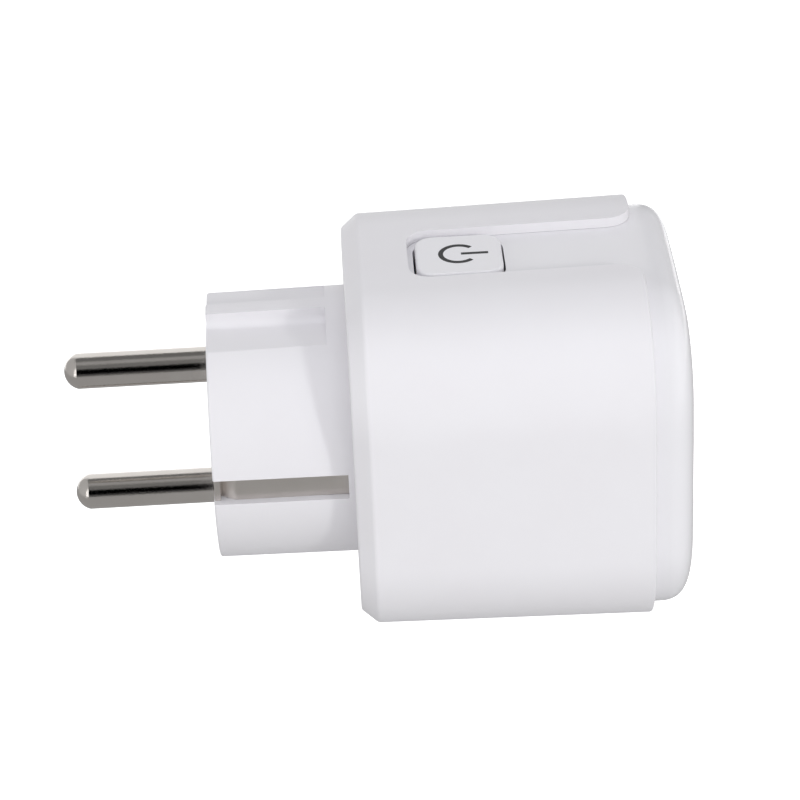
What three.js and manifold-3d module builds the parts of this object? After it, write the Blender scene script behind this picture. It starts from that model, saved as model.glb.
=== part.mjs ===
// A Wi-Fi smart plug: a two-pin round plug boss with side earth contacts on the back of a
// rounded-square body, an earthed socket recess on the front, and a push button on the upper side.
//
// Frame, millimetres: the origin is the centre of the boss's end face. +X runs along the plug's
// axis towards the socket, so the pins point to -X. +Z is the button's side. The two pins stand
// one above the other, at Z = +-pinPitch / 2, and the earth contacts lie on the +-Y sides.

import * as THREE from "three";
import { mergeVertices } from "three/addons/utils/BufferGeometryUtils.js";
import Module from "manifold-3d";

const wasm = await Module();
wasm.setup();

// ---------------------------------------------------------------- driving dimensions

// Clearances between separate pieces.
const seatGap = 0.3; // pieces that rest on, hold or are soldered to each other
const slideGap = 0.2; // a flat strip in its slot
const lapGap = 0.3; // the cover's skirt inside the housing's rim
const laneGap = 0.4; // board parts and contacts to their neighbours
const roomGap = 1; // parts that only stand beside each other

// Plug side.
const pinDiameter = 4.8;
const pinPitch = 19;
const pinReach = 19.5; // pin length in front of the boss face
const pinTipLength = 1.82; // domed tip, a little flatter than a half ball
const pinFlangeRim = 1.2; // flange beyond the shank, all round
const pinFlangeThickness = 1.5;
const pinTailDiameter = 3;
const bossFaceRadius = 17.9;
const bossRootRadius = 18.1;
const bossLength = 18.6;
const bossWall = 2.4;
const bossFaceWall = 2.6;
const guideFlatHeight = 15.95; // axis to the flats above and below
const guideHalfWidth = 8.2;
const guideLength = 15.9;
const guideRibHalfWidth = 1.4; // rib left standing in the middle of each flat
const guideWall = 1.75; // plastic left under a flat
const earthSlotWidth = 3.6;
const earthSlotLength = 17.8;
const earthSlotDepth = 1.1; // boss surface to the strip's outer face
const earthSlotWall = 1.8; // plastic behind the strip
const earthNoseLength = 3.4; // pocket for a strip's bent nose, at the boss face
const earthNoseFloor = 13.7; // and how near the axis it reaches
const carrierThickness = 3;
const carrierRoom = 12.2; // half the width of the hollow that holds the pin carrier

// Housing.
const bodyLength = 39;
const bodyWidth = 49.7; // across the flats at the front rim
const bodyDraftDrop = 0.55; // each side is this much nearer the axis at the rear chamfer
const bodyCorner = 15.1; // corner radius at the front rim
const rearChamferLength = 2.2;
const rearChamferDrop = 1.9;
const housingWall = 2;
const rearWall = 2.2;
const rimLap = 3.3; // how far the cover's skirt reaches behind the rim

// Front cover.
const coverStep = 1.43; // from the housing's surface in to the cover's
const coverWall = 1.8;
const coverStraight = 1.1; // straight side in front of the rim
const pillowRise = 4.2; // how far the rounded front edge climbs along X
const pillowInset = 7.2; // and how far it reaches in from the side
const pillowPower = 2.74; // roundness: 2 is an ellipse, more is squarer
const domeRise = 0.44; // crown of the face at its centre
const domeRadius = 31.7; // radius where the crown runs out

// Socket.
const socketDiameter = 39.4;
const socketDepth = 17.5;
const socketWall = 1.5;
const socketFloorThickness = 2.2;
const pinHoleClearance = 0.6; // pin to the edge of its hole in the recess floor
const bezelDepth = 3.2; // how deep the cover's own rim reaches into the recess
const guideNoseClearance = 0.35; // recess noses to the flats of a plug like this one
const guideNoseDrop = 3; // noses end this far behind the recess insert's edge

// Earth contacts.
const earthStripThickness = 0.8;
const earthClipWidth = 6.4;
const clipSetback = 1.8; // recess wall to the middle of the clip's foot
const earthLinkHalfWidth = 4;

// Live and neutral contacts.
const contactLeafThickness = 0.8;
const contactLeafWidth = 6;
const contactGrip = 0.5; // how much narrower than a pin the leaves stand

// Safety shutter.
const shutterThickness = 2.3;
const shutterWingRadius = 13;
const shutterWingHalfAngle = 22; // degrees
const shutterHubDiameter = 8;
const shutterPostDiameter = 3.6;
const frameThickness = 1.2;
const frameHalfWidth = 5.4;

// Button and its switch.
const notchHalfWidth = 6.6;
const notchLength = 30.4; // from the front rim back to the notch's closed end
const notchCorner = 3;
const notchMouthRound = 3.4;
const tongueSideLap = 1.5; // the tongue reaches this far under the housing on each side
const tongueWall = 1.5;
const buttonLength = 11.5;
const buttonWidth = 10.8;
const buttonCorner = 2.5;
const buttonEdge = 0.4;
const buttonSetback = 1.05; // notch's closed end to the button
const buttonProud = 1.05; // button above the tongue
const buttonFlange = 1;
const buttonFlangeThickness = 0.9;
const buttonStemDiameter = 3;
const buttonStemLength = 0.8;
const buttonTravel = 0.5;
const tactSize = 6;
const tactHeight = 2.5;
const tactPlungerDiameter = 3.2;
const tactPlungerProud = 0.9;
const buttonBoardThickness = 1;

// Electronics.
const boardThickness = 1.6;
const boardEdgeGap = 0.9;

// Housing screws.
const screwSpacing = 18;
const screwHeadDiameter = 5;
const screwHeadHeight = 1.6;
const screwHeadSink = 1.2;
const screwShankDiameter = 2.4;
const screwLength = 28;
const screwTubeDiameter = 6;
const screwPostDiameter = 5.4;
const screwCupWall = 1.1; // plastic round a screw's head
const screwCupFloor = 1.9; // and under it

// ---------------------------------------------------------------- derived places

const bodyFrontHalf = bodyWidth / 2;
const bodyRearHalf = bodyFrontHalf - bodyDraftDrop;
const bodyRear = bossLength;
const bodyFront = bodyRear + bodyLength;
const chamferEnd = bodyRear + rearChamferLength;
const cavityRear = bodyRear + rearWall;
const draft = (bodyFrontHalf - bodyRearHalf) / (bodyFront - chamferEnd);
const bodyHalfAt = (x) => bodyRearHalf + draft * (x - chamferEnd);
const bodyCornerAt = (x) => bodyCorner - bodyFrontHalf + bodyHalfAt(x);
const bossRadiusAt = (x) => bossFaceRadius + ((bossRootRadius - bossFaceRadius) * x) / bossLength;

const pinRadius = pinDiameter / 2;
const contactPinch = pinDiameter - contactGrip;
const pinHeights = { live: pinPitch / 2, neutral: -pinPitch / 2 };

const pillowStart = bodyFront + coverStraight;
const coverHalf = bodyFrontHalf - coverStep;
const coverCorner = bodyCorner - coverStep;
const socketRadius = socketDiameter / 2;
const crownAt = (radius) => domeRise * Math.max(0, 1 - (radius / domeRadius) ** 2);
const frontFace = pillowStart + pillowRise + crownAt(socketRadius);
const recessFloor = frontFace - socketDepth;
const recessBack = recessFloor - socketFloorThickness;
const insertFront = frontFace - bezelDepth - seatGap;

const pinTipDepth = recessFloor - pinReach; // where an inserted pin ends
const boardFront = pinTipDepth - roomGap;
const boardRear = boardFront - boardThickness;
const partsFront = boardFront + seatGap; // where parts soldered to the front of the board start
const partsRear = boardRear - seatGap;

const shutterFront = recessBack - seatGap;
const shutterRear = shutterFront - shutterThickness;
const frameFront = shutterRear - seatGap;
const frameRear = frameFront - frameThickness;
const contactEnd = frameRear - laneGap;

const stripOuter = bossFaceRadius - earthSlotDepth; // outer face of the earth strips
const stripInner = stripOuter - earthStripThickness;
const stripCentre = stripOuter - earthStripThickness / 2;
const clipCentre = socketRadius - clipSetback;

const notchRear = bodyFront - notchLength;
const tongueHalfWidth = notchHalfWidth + tongueSideLap;
const tongueRear = notchRear - tongueSideLap;
const buttonRear = notchRear + buttonSetback;
const buttonMiddle = buttonRear + buttonLength / 2;
const tongueTop = bodyHalfAt(buttonMiddle) - coverStep;
const buttonTop = tongueTop + buttonProud;
const flangeTop = bodyHalfAt(buttonRear - buttonFlange) - coverStep - tongueWall - seatGap;
const flangeBottom = flangeTop - buttonFlangeThickness;
const stemBottom = flangeBottom - buttonStemLength;
const plungerTop = stemBottom - seatGap;
const tactTop = plungerTop - tactPlungerProud;
const tactBottom = tactTop - tactHeight;
const buttonBoardTop = tactBottom - seatGap;
const buttonBoardBottom = buttonBoardTop - buttonBoardThickness;

// Board parts stand in lanes on both sides of the contacts.
const laneInner = frameHalfWidth + roomGap / 2;
const laneOuter = stripInner - laneGap;
const laneFoot = earthLinkHalfWidth + roomGap / 2;

const carrierRear = bossFaceWall + seatGap;
const carrierFront = carrierRear + carrierThickness;
const screwY = screwSpacing / 2;
const screwSeat = screwHeadSink + screwHeadHeight + seatGap;
const screwEnd = screwHeadSink + screwHeadHeight + screwLength;
const screwBoreRadius = screwShankDiameter / 2 + seatGap;

// ---------------------------------------------------------------- solids

const far = 200; // longer than the part, for cuts that run right out of it
const cornerSteps = 8;
const sideSteps = 3;
const roundSteps = 48;
const smallSteps = 16;
const xAxis = new THREE.Vector3(1, 0, 0);
const yAxis = new THREE.Vector3(0, 1, 0);
const zAxis = new THREE.Vector3(0, 0, 1);
const radians = (degrees) => THREE.MathUtils.degToRad(degrees);

// A closed three.js geometry as a manifold-3d solid.
function solid(geometry) {
  const bare = geometry.index ? geometry.toNonIndexed() : geometry.clone();
  bare.deleteAttribute("normal");
  bare.deleteAttribute("uv");
  const merged = mergeVertices(bare, 1e-4);
  return new wasm.Manifold(
    new wasm.Mesh({
      numProp: 3,
      vertProperties: merged.attributes.position.array,
      triVerts: new Uint32Array(merged.index.array),
    }),
  );
}

// And back to a geometry that three.js can draw.
function geometryOf(body) {
  const mesh = body.getMesh();
  const geometry = new THREE.BufferGeometry();
  geometry.setAttribute("position", new THREE.BufferAttribute(mesh.vertProperties, 3));
  geometry.setIndex(new THREE.BufferAttribute(mesh.triVerts, 1));
  const flat = geometry.toNonIndexed();
  flat.computeVertexNormals();
  return flat;
}

const join = (first, ...others) => others.reduce((whole, other) => whole.add(other), first);
const cut = (first, ...others) => others.reduce((whole, other) => whole.subtract(other), first);

function block(x0, x1, y0, y1, z0, z1) {
  const box = new THREE.BoxGeometry(x1 - x0, y1 - y0, z1 - z0);
  return solid(box.translate((x0 + x1) / 2, (y0 + y1) / 2, (z0 + z1) / 2));
}

// A round rod or cone along X.
function rodX(radius, x0, x1, y = 0, z = 0, steps = smallSteps, endRadius = radius) {
  const rod = new THREE.CylinderGeometry(endRadius, radius, x1 - x0, steps);
  return solid(rod.rotateZ(-Math.PI / 2).translate((x0 + x1) / 2, y, z));
}

function rodY(radius, y0, y1, x, z, steps = smallSteps) {
  const rod = new THREE.CylinderGeometry(radius, radius, y1 - y0, steps);
  return solid(rod.translate(x, (y0 + y1) / 2, z));
}

function rodZ(radius, z0, z1, x, y, steps = smallSteps) {
  const rod = new THREE.CylinderGeometry(radius, radius, z1 - z0, steps);
  return solid(rod.rotateX(Math.PI / 2).translate(x, y, (z0 + z1) / 2));
}

// A rectangle with rounded corners, drawn as a shape centred on (across, up).
function roundedRectangle(width, height, radius, across = 0, up = 0) {
  const shape = new THREE.Shape();
  const right = across + width / 2 - radius;
  const top = up + height / 2 - radius;
  const left = across - width / 2 + radius;
  const bottom = up - height / 2 + radius;
  shape.absarc(right, top, radius, 0, Math.PI / 2);
  shape.absarc(left, top, radius, Math.PI / 2, Math.PI);
  shape.absarc(left, bottom, radius, Math.PI, Math.PI * 1.5);
  shape.absarc(right, bottom, radius, Math.PI * 1.5, Math.PI * 2);
  return shape;
}

// A shape drawn in X and Y, as a plate from z0 to z1.
function plateZ(shape, z0, z1, curveSegments = 4) {
  const plate = new THREE.ExtrudeGeometry(shape, { depth: z1 - z0, bevelEnabled: false, curveSegments });
  return solid(plate.translate(0, 0, z0));
}

// A shape drawn in Y and Z, as a plate from x0 to x1.
function plateX(shape, x0, x1, curveSegments = 4) {
  const plate = new THREE.ExtrudeGeometry(shape, { depth: x1 - x0, bevelEnabled: false, curveSegments });
  plate.translate(0, 0, x0);
  return solid(plate.applyMatrix4(new THREE.Matrix4().makeBasis(yAxis, zAxis, xAxis)));
}

// One turn round a rounded square, as points in the plane at x. climb(radius) lifts each point.
function squareRing(x, half, corner, climb = () => 0) {
  const signs = [[1, 1], [-1, 1], [-1, -1], [1, -1]];
  const flat = half - corner;
  const ring = [];
  signs.forEach(([ySign, zSign], quarter) => {
    for (let step = 0; step <= cornerSteps; step++) {
      const angle = ((quarter + step / cornerSteps) * Math.PI) / 2;
      ring.push([ySign * flat + corner * Math.cos(angle), zSign * flat + corner * Math.sin(angle)]);
    }
    const [y, z] = ring.at(-1);
    const along = [-Math.sin(((quarter + 1) * Math.PI) / 2), Math.cos(((quarter + 1) * Math.PI) / 2)];
    for (let step = 1; step < sideSteps; step++) {
      const run = (2 * flat * step) / sideSteps;
      ring.push([y + along[0] * run, z + along[1] * run]);
    }
  });
  return ring.map(([y, z]) => new THREE.Vector3(x + climb(Math.hypot(y, z)), y, z));
}

// A solid through rings that follow each other along X.
function loft(rings) {
  const count = rings[0].length;
  const triangles = [];
  for (let i = 0; i + 1 < rings.length; i++) {
    for (let k = 0; k < count; k++) {
      const next = (k + 1) % count;
      const [a, b] = [rings[i][k], rings[i][next]];
      const [c, d] = [rings[i + 1][next], rings[i + 1][k]];
      triangles.push(a, b, c, a, c, d);
    }
  }
  const middleOf = (ring) => ring.reduce((sum, p) => sum.add(p), new THREE.Vector3()).divideScalar(count);
  const [first, last] = [rings[0], rings.at(-1)];
  const [firstMiddle, lastMiddle] = [middleOf(first), middleOf(last)];
  for (let k = 0; k < count; k++) {
    const next = (k + 1) % count;
    triangles.push(firstMiddle, first[next], first[k], lastMiddle, last[k], last[next]);
  }
  return solid(new THREE.BufferGeometry().setFromPoints(triangles));
}

// The housing's drafted outer shape, moved in by offset, between two stations.
function bodyBlock(x0, x1, offset) {
  const ringAt = (x) => squareRing(x, bodyHalfAt(x) - offset, bodyCornerAt(x) - offset);
  return loft([ringAt(x0), ringAt(x1)]);
}

// A strip of metal of even thickness along a line drawn in X and Y, width wide along Z.
function strip(line, thickness, width) {
  const edge = (sign) =>
    line.map((point, i) => {
      const before = line[Math.max(i - 1, 0)];
      const after = line[Math.min(i + 1, line.length - 1)];
      const along = after.clone().sub(before).normalize();
      return new THREE.Vector2(-along.y, along.x).multiplyScalar((sign * thickness) / 2).add(point);
    });
  const shape = new THREE.Shape([...edge(1), ...edge(-1).reverse()]);
  return plateZ(shape, -width / 2, width / 2);
}

const linePoints = (...pairs) => pairs.map(([x, y]) => new THREE.Vector2(x, y));
const mirroredY = (body) => body.mirror([0, 1, 0]);

// ---------------------------------------------------------------- finishes

const finish = (color, roughness, metalness = 0) =>
  new THREE.MeshStandardMaterial({ color, roughness, metalness });
const whiteShell = finish(0xf3f2f4, 0.38);
const whiteGloss = finish(0xf5f4f6, 0.22);
const nickel = finish(0xc4bfba, 0.25, 1);
const tinnedBrass = finish(0xd0b878, 0.35, 1);
const springSteel = finish(0xb9bcc0, 0.3, 1);
const blackPlastic = finish(0x1c1c1e, 0.5);
const boardGreen = finish(0x1f5a3a, 0.45);
const canSilver = finish(0xb8bcc2, 0.3, 1);
const sleeveBlue = finish(0x1e3f86, 0.4);
const boxYellow = finish(0xd9b637, 0.45);
const discBlue = finish(0x2a62a8, 0.4);
const copper = finish(0xb87345, 0.35, 1);
const clearAmber = finish(0xf2efe2, 0.2);

function piece(name, body, material) {
  const mesh = new THREE.Mesh(geometryOf(body), material);
  mesh.name = name;
  return mesh;
}

function groupOf(...pieces) {
  const group = new THREE.Group();
  group.add(...pieces);
  return group;
}

// ---------------------------------------------------------------- rear housing

// Boss: a slightly tapered round plug body with flats, each split by a rib, above and below.
function bossBody() {
  const end = bossLength + rearWall;
  const round = rodX(bossFaceRadius, 0, end, 0, 0, roundSteps, bossRadiusAt(end));
  const flatSide = (sign) => {
    const reach = (a, b) => [Math.min(sign * a, sign * b), Math.max(sign * a, sign * b)];
    const height = reach(guideFlatHeight, far);
    const flat = block(-1, guideLength, -guideHalfWidth, guideHalfWidth, ...height);
    const rib = block(-2, guideLength + 1, -guideRibHalfWidth, guideRibHalfWidth, ...reach(0, far));
    return cut(flat, rib);
  };
  return cut(round, flatSide(1), flatSide(-1));
}

// The hollow of the boss, kept clear of the flats and of the earth strips' channels.
function bossHollow() {
  const round = rodX(bossFaceRadius - bossWall, bossFaceWall, cavityRear + 1, 0, 0, roundSteps);
  const height = guideFlatHeight - guideWall;
  const level = block(0, far, -far, far, -height, height);
  const halfChannel = earthSlotWidth / 2 + earthSlotWall;
  const channelFloor = stripInner - seatGap - earthSlotWall;
  const channel = block(0, cavityRear + 2, channelFloor, far, -halfChannel, halfChannel);
  const noseEnd = carrierFront + roomGap - seatGap;
  const nose = block(0, noseEnd, carrierRoom, far, -halfChannel, halfChannel);
  const sides = join(channel, nose);
  return cut(round.intersect(level), sides, mirroredY(sides));
}

// Slot of one earth strip: open along the boss, then a tunnel through the rear wall.
function earthSlot() {
  const half = earthSlotWidth / 2;
  const open = block(-1, earthSlotLength, stripInner - seatGap, far, -half, half);
  const nosePocket = block(-1, earthNoseLength, earthNoseFloor, far, -half, half);
  const tunnel = block(0, cavityRear + 1, stripInner - seatGap, stripOuter + seatGap, -half, half);
  return join(open, nosePocket, tunnel);
}

// The notch on the upper side: round corners at its closed end, and a flared mouth at the rim.
function notchCut() {
  const reach = bodyFront + 1;
  const [mouthX, mouthY] = [bodyFront - notchMouthRound, notchHalfWidth + notchMouthRound];
  const [endX, endY] = [notchRear + notchCorner, notchHalfWidth - notchCorner];
  const shape = new THREE.Shape();
  shape.moveTo(reach, -mouthY);
  shape.lineTo(bodyFront, -mouthY);
  shape.absarc(mouthX, -mouthY, notchMouthRound, 0, Math.PI / 2);
  shape.absarc(endX, -endY, notchCorner, -Math.PI / 2, -Math.PI, true);
  shape.absarc(endX, endY, notchCorner, Math.PI, Math.PI / 2, true);
  shape.absarc(mouthX, mouthY, notchMouthRound, -Math.PI / 2, 0);
  shape.lineTo(reach, mouthY);
  return plateZ(shape, bodyRearHalf / 2, far);
}

// A tube round each housing screw, from the boss face to the main board.
function screwTubes() {
  const cupRadius = screwHeadDiameter / 2 + seatGap + screwCupWall;
  const column = (y) =>
    join(
      rodX(cupRadius, bossFaceWall / 2, screwSeat + screwCupFloor, y),
      rodX(screwTubeDiameter / 2, bossFaceWall / 2, cavityRear, y),
    );
  return join(column(screwY), column(-screwY));
}

function screwHoles() {
  const hole = (y) =>
    join(
      rodX(screwHeadDiameter / 2 + seatGap, -1, screwSeat, y),
      rodX(screwBoreRadius, -1, cavityRear + 1, y),
    );
  return join(hole(screwY), hole(-screwY));
}

function rearHousing() {
  const outer = loft([
    squareRing(bodyRear, bodyRearHalf - rearChamferDrop, bodyCornerAt(chamferEnd) - rearChamferDrop),
    squareRing(chamferEnd, bodyRearHalf, bodyCornerAt(chamferEnd)),
    squareRing(bodyFront, bodyFrontHalf, bodyCorner),
  ]);
  const lapOffset = coverStep - lapGap;
  const rimStep = bodyBlock(bodyFront - rimLap - seatGap, bodyFront + 1, lapOffset);
  const lapHalfWidth = tongueHalfWidth + lapGap;
  const underTongue = block(tongueRear - seatGap, bodyFront, -lapHalfWidth, lapHalfWidth, 0, far)
    .intersect(bodyBlock(cavityRear, bodyFront, lapOffset));
  const hollow = bodyBlock(cavityRear, bodyFront + 1, housingWall);
  const shell = cut(join(outer, bossBody()), hollow, bossHollow(), rimStep, underTongue);
  const pinHole = (z) => rodX(pinRadius + slideGap, -1, bossFaceWall + 1, 0, z);
  const slot = earthSlot();
  return piece(
    "rear_housing",
    cut(
      join(shell, screwTubes()), screwHoles(), slot, mirroredY(slot), notchCut(),
      pinHole(pinHeights.live), pinHole(pinHeights.neutral),
    ),
    whiteShell,
  );
}

// ---------------------------------------------------------------- front cover

// The cover's pillow shape, moved in by offset, from xRear to its rounded and crowned face.
function pillow(xRear, offset, steps) {
  const faceMargin = 2; // flat face between the rounded edge and its last ring
  const half = coverHalf - offset;
  const corner = coverCorner - offset;
  const [rise, inset] = [pillowRise - offset, pillowInset - offset];
  const rearHalf = bodyHalfAt(xRear) - coverStep - offset;
  const rearCorner = bodyCornerAt(xRear) - coverStep - offset;
  const rings = [squareRing(xRear, rearHalf, rearCorner), squareRing(bodyFront, half, corner)];
  for (let step = 0; step <= steps; step++) {
    const angle = ((step / steps) * Math.PI) / 2;
    const drop = inset * (1 - Math.cos(angle) ** (2 / pillowPower));
    const climb = Math.sin(angle) ** (2 / pillowPower);
    const crown = (radius) => climb * crownAt(radius);
    rings.push(squareRing(pillowStart + rise * climb, half - drop, corner - drop, crown));
  }
  const inner = inset + faceMargin;
  rings.push(squareRing(pillowStart + rise, half - inner, corner - inner, crownAt));
  return loft(rings);
}

// The tongue that runs back under the notch, level with the cover's side.
function tongue() {
  const side = bodyBlock(cavityRear, bodyFront, coverStep);
  const inside = bodyBlock(cavityRear - 1, bodyFront + 1, coverStep + tongueWall);
  const strap = block(
    tongueRear, bodyFront - rimLap / 2, -tongueHalfWidth, tongueHalfWidth, bodyRearHalf / 2, far,
  );
  return cut(side.intersect(strap), inside);
}

function buttonOutline(grow) {
  return roundedRectangle(
    buttonLength + 2 * grow, buttonWidth + 2 * grow, buttonCorner + grow, buttonMiddle, 0,
  );
}

function frontCover() {
  const skirtRear = bodyFront - rimLap;
  const insertRoom = rodX(
    socketRadius + socketWall + seatGap, skirtRear - 1, insertFront + seatGap, 0, 0, roundSteps,
  );
  const shell = cut(pillow(skirtRear, 0, 8), pillow(skirtRear - 1, coverWall, 4), insertRoom);
  const bezel = rodX(socketRadius + socketWall, insertFront + seatGap, frontFace + 2, 0, 0, roundSteps)
    .intersect(pillow(skirtRear, 0, 8));
  const hole = rodX(socketRadius, 0, far, 0, 0, roundSteps);
  const buttonHole = plateZ(buttonOutline(seatGap), 0, far);
  return piece("front_cover", cut(join(shell, bezel, tongue()), hole, buttonHole), whiteGloss);
}

// ---------------------------------------------------------------- socket insert

// Two noses on each side of the recess, which run in a plug's guide flats.
function guideNoses() {
  const low = guideFlatHeight + guideNoseClearance;
  const [inner, outer] = [guideRibHalfWidth + guideNoseClearance, guideHalfWidth - guideNoseClearance];
  const noseEnd = insertFront - guideNoseDrop;
  const ring = rodX(socketRadius + socketWall / 2, recessFloor - 1, noseEnd, 0, 0, roundSteps);
  const nose = (y0, y1, z0, z1) => ring.intersect(block(0, far, y0, y1, z0, z1));
  return join(
    nose(inner, outer, low, far), nose(-outer, -inner, low, far),
    nose(inner, outer, -far, -low), nose(-outer, -inner, -far, -low),
  );
}

// Posts behind the recess floor: two that take the housing screws, and the shutter's pivot.
function insertPosts() {
  const screwPost = (y) => rodX(screwPostDiameter / 2, cavityRear + seatGap, recessFloor - 1, y);
  const pivot = rodX(shutterPostDiameter / 2, frameRear - 2, recessFloor - 1);
  return join(screwPost(screwY), screwPost(-screwY), pivot);
}

function socketInsert() {
  const cup = cut(
    rodX(socketRadius + socketWall, recessBack, insertFront, 0, 0, roundSteps),
    rodX(socketRadius, recessFloor, far, 0, 0, roundSteps),
  );
  const slotHalf = earthClipWidth / 2 + seatGap;
  const slotReach = earthStripThickness / 2 + seatGap;
  const clipSlot = block(
    recessBack - 1, recessFloor + 1, clipCentre - slotReach, clipCentre + slotReach, -slotHalf, slotHalf,
  );
  const pinHole = (z) => rodX(pinRadius + pinHoleClearance, recessBack - 1, recessFloor + 1, 0, z);
  const screwBore = (y) => rodX(screwBoreRadius, cavityRear, screwEnd + 1, y);
  return piece(
    "socket_insert",
    cut(
      join(cup, guideNoses(), insertPosts()), clipSlot, mirroredY(clipSlot),
      pinHole(pinHeights.live), pinHole(pinHeights.neutral), screwBore(screwY), screwBore(-screwY),
    ),
    whiteShell,
  );
}

// ---------------------------------------------------------------- plug pins

// A turned pin: round tip, shank, a flange behind the carrier and a tail into the main board.
function plugPin(name, z) {
  const tipSteps = 5;
  const tailEnd = boardFront - boardThickness / 4;
  const flangeRear = carrierFront + seatGap;
  const flangeFront = flangeRear + pinFlangeThickness;
  const flangeRadius = pinRadius + pinFlangeRim;
  const tipRadius = (pinRadius ** 2 + pinTipLength ** 2) / (2 * pinTipLength);
  const tipAngle = Math.acos(1 - pinTipLength / tipRadius);
  const tip = Array.from({ length: tipSteps + 1 }, (_, step) => {
    const angle = (step / tipSteps) * tipAngle;
    return [tipRadius * Math.sin(angle), tipRadius - pinReach - tipRadius * Math.cos(angle)];
  });
  const profile = linePoints(
    ...tip,
    [pinRadius, flangeRear], [flangeRadius, flangeRear], [flangeRadius, flangeFront],
    [pinTailDiameter / 2, flangeFront], [pinTailDiameter / 2, tailEnd], [0, tailEnd],
  );
  const turned = new THREE.LatheGeometry(profile, 20).rotateZ(-Math.PI / 2);
  const mesh = piece(name, solid(turned), nickel);
  mesh.position.z = z;
  return mesh;
}

// Plate inside the boss that keeps the pins upright and apart.
function pinCarrier() {
  const corner = 4;
  const halfHeight = guideFlatHeight - guideWall - 2 * seatGap;
  const halfWidth = carrierRoom - seatGap;
  const plate = plateX(roundedRectangle(2 * halfWidth, 2 * halfHeight, corner), carrierRear, carrierFront);
  const tubeHole = (y) => rodX(screwHeadDiameter / 2 + 2 * seatGap + screwCupWall, 0, far, y);
  const pinHole = (z) => rodX(pinRadius + slideGap, 0, far, 0, z);
  const round = rodX(bossFaceRadius - bossWall - seatGap, 0, far, 0, 0, roundSteps);
  return piece(
    "pin_carrier",
    cut(
      plate.intersect(round), tubeHole(screwY), tubeHole(-screwY),
      pinHole(pinHeights.live), pinHole(pinHeights.neutral),
    ),
    blackPlastic,
  );
}

// ---------------------------------------------------------------- earth contacts

// One stamped strap: a nose and strip on the boss, a run through the body, and the socket's clip.
function earthStrap(name, side) {
  const jogStart = recessBack - 5;
  const jogEnd = recessBack - 2;
  const nose = [[0.7, stripCentre - 1.9], [1.7, stripCentre - 0.7], [3.1, stripCentre]];
  const bowedClip = [
    [recessFloor + 3, clipCentre], [recessFloor + 7.5, clipCentre - 1.5],
    [recessFloor + 9.5, clipCentre - 1.4], [recessFloor + 12, clipCentre + 0.4],
  ];
  const line = linePoints(...nose, [jogStart, stripCentre], [jogEnd, clipCentre], ...bowedClip);
  const narrow = strip(line, earthStripThickness, earthSlotWidth - 2 * slideGap);
  const wide = strip(line, earthStripThickness, earthClipWidth);
  const clip = wide.intersect(block(boardFront + 3 * seatGap, far, -far, far, -far, far));
  const strap = join(narrow, clip);
  return piece(name, side > 0 ? strap : mirroredY(strap), nickel);
}

// Flat bridge that joins the two straps, with room for the screw posts.
function earthLink() {
  const rear = (boardFront + contactEnd) / 2;
  const front = rear + earthStripThickness;
  const halfLength = stripInner - seatGap;
  const plate = block(rear, front, -halfLength, halfLength, -earthLinkHalfWidth, earthLinkHalfWidth);
  const postHole = (y) => rodX(screwPostDiameter / 2 + seatGap, 0, far, y);
  return piece("earth_link", cut(plate, postHole(screwY), postHole(-screwY)), nickel);
}

// ---------------------------------------------------------------- socket contacts

// A spring fork behind a pin hole: a foot on the board and two leaves that close on the pin.
function socketContact(name, z) {
  const wide = pinRadius + 1.4;
  const grip = (contactPinch + contactLeafThickness) / 2;
  const foot = partsFront + contactLeafThickness / 2;
  const flare = 1.1; // the mouth stands this much wider than the grip
  const gripX = contactEnd - 3;
  const wideX = contactEnd - 8;
  const bend = 0.8;
  const line = linePoints(
    [contactEnd, grip + flare], [gripX, grip], [wideX, wide], [foot + bend, wide], [foot, wide - bend],
    [foot, bend - wide], [foot + bend, -wide], [wideX, -wide], [gripX, -grip], [contactEnd, -grip - flare],
  );
  const mesh = piece(name, strip(line, contactLeafThickness, contactLeafWidth), tinnedBrass);
  mesh.position.z = z;
  return mesh;
}

// ---------------------------------------------------------------- safety shutter

// Two wings on a hub close both pin holes, and turn aside together when two pins push.
function shutter() {
  const wing = new THREE.Shape();
  const half = radians(shutterWingHalfAngle);
  const upright = Math.PI / 2;
  wing.moveTo(0, 0);
  wing.lineTo(shutterWingRadius * Math.sin(half), shutterWingRadius * Math.cos(half));
  wing.absarc(0, 0, shutterWingRadius, upright - half, upright + half);
  wing.closePath();
  const upper = plateX(wing, shutterRear, shutterFront);
  const hub = rodX(shutterHubDiameter / 2, shutterRear, shutterFront);
  const bore = rodX(shutterPostDiameter / 2 + seatGap, 0, far);
  return piece("shutter", cut(join(hub, upper, upper.mirror([0, 0, 1])), bore), blackPlastic);
}

// Plate with two feet that keeps the shutter in place and guides the contacts' mouths.
function shutterFrame() {
  const footInner = shutterWingRadius + roomGap;
  const footOuter = footInner + 1.1;
  const footHalf = 3.2;
  const corner = 1.5;
  const plate = plateX(roundedRectangle(2 * frameHalfWidth, 2 * footOuter, corner), frameRear, frameFront);
  const footRear = frameFront - frameThickness / 2;
  const foot = block(footRear, shutterFront, -footHalf, footHalf, footInner, footOuter);
  const mouth = (z) => rodX(contactPinch / 2 + 2.1, 0, far, 0, z);
  const pivotHole = rodX(shutterPostDiameter / 2 + seatGap, 0, far);
  const body = join(plate, foot, foot.mirror([0, 0, 1]));
  return piece(
    "shutter_frame",
    cut(body, mouth(pinHeights.live), mouth(pinHeights.neutral), pivotHole),
    blackPlastic,
  );
}

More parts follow.
